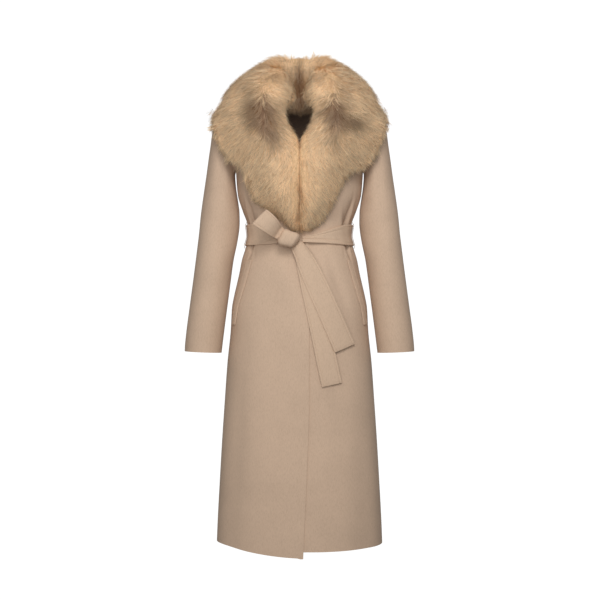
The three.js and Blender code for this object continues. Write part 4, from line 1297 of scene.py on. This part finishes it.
def hair_cover(tree, cloth, centre, facing):
    """How much hair each triangle of the form carries, and how thick the form is behind it."""
    keep = np.empty(len(centre))
    thick = np.empty(len(centre))
    for i, (c, n) in enumerate(zip(centre, facing)):
        hit = tree.ray_cast(Vector(c - n * 0.5), Vector(-n), 80.0)
        thick[i] = hit[3] if hit[3] else 60.0
        clear = cloth.find_nearest(Vector(c), CLOTH_CLEARANCE)[0] is None
        over = cloth.ray_cast(Vector(c), Vector(n), 40.0)[0] is None
        keep[i] = 1.0 if clear and over else 0.0
    away = np.abs(centre[:, 0])
    # The flat joint at the middle of the back has no hair of its own.
    keep *= ~((away < 3.5) & (np.abs(facing[:, 0]) > 0.8) & (centre[:, 1] > 0))
    # On the front's rim the hair of the outer face hangs over the edge, which grows little of its own.
    front_rim = (centre[:, 1] < 20) & (facing[:, 1] > -0.35) & (away > 30) & (centre[:, 2] < -25)
    return np.where(front_rim, keep * RIM_SHARE, keep), thick


def pelt(node, form):
    """Underfur in the place of the solid: the form drawn in under the strands, least at the joint."""
    points = form["points"]
    thick_at = np.full(len(points), 80.0)
    for corner in range(3):
        np.minimum.at(thick_at, form["triangles"][:, corner], form["thick"])
    near_joint = smooth((np.abs(points[:, 0]) - 3) / 22)
    sink = np.minimum(PELT_SINK * (0.1 + 0.9 * near_joint), 0.3 * thick_at)
    verts = points - form["normals"] * sink[:, None]
    faces = form["triangles"].tolist()
    obj = make_object(node + "_underfur", verts, faces, PELT, smooth_angle=None)
    # The underfur takes the hair's colour, with the dark roots and painted shade of the partings, the
    # joint and the neck.
    paint(obj.data, hair_colour(0.3, darkness(points), np.ones(len(points)), 1.0))
    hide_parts(node)


def guide_hairs(form, tree, side):
    """Guide hairs all over the form, and a finder for the nearest ones."""
    spot, lean, _ = sample(form["points"], form["normals"], form["triangles"], form["keep"], GUIDES)
    length = rng.uniform(*GUIDE_LENGTHS, GUIDES) * mix(1.0, 0.6, smooth((-300 - spot[:, 2]) / 80))
    path, leans = march(tree, spot, lean, side, length)
    finder = KDTree(GUIDES)
    for i, s in enumerate(spot):
        finder.insert(Vector(s), i)
    finder.balance()
    return {"form": form, "finder": finder, "path": path, "lean": leans}


def grow_collar(node, side, cloth):
    """One half of the collar: its underfur, a short dense pile and a long loose one."""
    points, normals, triangles = evened_form(node)
    tree = tree_of(points, triangles)
    keep, thick = hair_cover(tree, cloth, points[triangles].mean(axis=1), normals[triangles].mean(axis=1))
    form = {"points": points, "normals": normals, "triangles": triangles, "keep": keep, "thick": thick}
    pelt(node, form)
    guides = guide_hairs(form, tree, side)
    strands(node + "_short_pile", guides, SHORT)
    strands(node + "_long_pile", guides, LONG)


wool_below = cloth_tree()
for side, name in ((-1, "fur_collar_right"), (1, "fur_collar_left")):
    grow_collar(name, side, wool_below)


# Floor, light and camera, in metres.
FLOOR_Z = -1.5
FLOOR_HALF = 3.0
FLOOR_FRONT = -4.5
FLOOR_BACK = 0.62
FLOOR_GREY = 150
SURROUND_SEEN = 0.8
SURROUND_LIGHT = 0.27
CAMERA_PLACE = (0.0013, -4.0, -0.572)
CAMERA_ANGLE = 22.07


def matt_floor():
    mesh = bpy.data.meshes.new("floor")
    corners = ((-FLOOR_HALF, FLOOR_FRONT), (FLOOR_HALF, FLOOR_FRONT),
               (FLOOR_HALF, FLOOR_BACK), (-FLOOR_HALF, FLOOR_BACK))
    mesh.from_pydata([(x, y, FLOOR_Z) for x, y in corners], [], [(0, 1, 2, 3)])
    m = Nodes("matt_floor", Roughness=0.9)
    m.shader.inputs["Base Color"].default_value = srgb(FLOOR_GREY, FLOOR_GREY, FLOOR_GREY)
    mesh.materials.append(m.material)
    obj = bpy.data.objects.new("floor", mesh)
    bpy.context.scene.collection.objects.link(obj)


def area_light(name, place, aim, size, power):
    data = bpy.data.lights.new(name, "AREA")
    data.shape = "RECTANGLE"
    data.size = size[0]
    data.size_y = size[1]
    data.energy = power
    obj = bpy.data.objects.new(name, data)
    bpy.context.scene.collection.objects.link(obj)
    obj.location = place
    obj.rotation_euler = (Vector(aim) - Vector(place)).to_track_quat("-Z", "Y").to_euler()


def white_surround():
    """Paper white where it is seen directly, and a soft even light on the coat."""
    world = bpy.data.worlds.new("studio")
    world.use_nodes = True
    nodes = world.node_tree.nodes
    paper = nodes["Background"]
    paper.inputs["Color"].default_value = (1, 1, 1, 1)
    seen = nodes.new("ShaderNodeLightPath")
    level = nodes.new("ShaderNodeMath")
    level.operation = "MULTIPLY_ADD"
    level.inputs[1].default_value = SURROUND_SEEN
    level.inputs[2].default_value = SURROUND_LIGHT
    world.node_tree.links.new(seen.outputs["Is Camera Ray"], level.inputs[0])
    world.node_tree.links.new(level.outputs["Value"], paper.inputs["Strength"])
    bpy.context.scene.world = world


def set_camera():
    lens = bpy.data.cameras.new("camera")
    lens.sensor_fit = "HORIZONTAL"
    lens.angle = math.radians(CAMERA_ANGLE)
    camera = bpy.data.objects.new("camera", lens)
    bpy.context.scene.collection.objects.link(camera)
    camera.location = CAMERA_PLACE
    camera.rotation_euler = (math.radians(90), 0, 0)
    bpy.context.scene.camera = camera


matt_floor()
area_light("key", (0.2, -2.0, 0.9), (0, 0, -0.4), (0.9, 0.8), 21)
area_light("fill", (-0.25, -2.1, -0.2), (0, 0, -0.35), (1.4, 1.4), 19)
area_light("back", (0.2, 2.4, 0.9), (0, 0, -0.4), (1.8, 1.6), 14)
area_light("top", (0.0, -0.3, 1.9), (0, 0, -0.3), (2.2, 1.4), 4)
white_surround()
set_camera()
bpy.context.scene.view_settings.view_transform = "Standard"
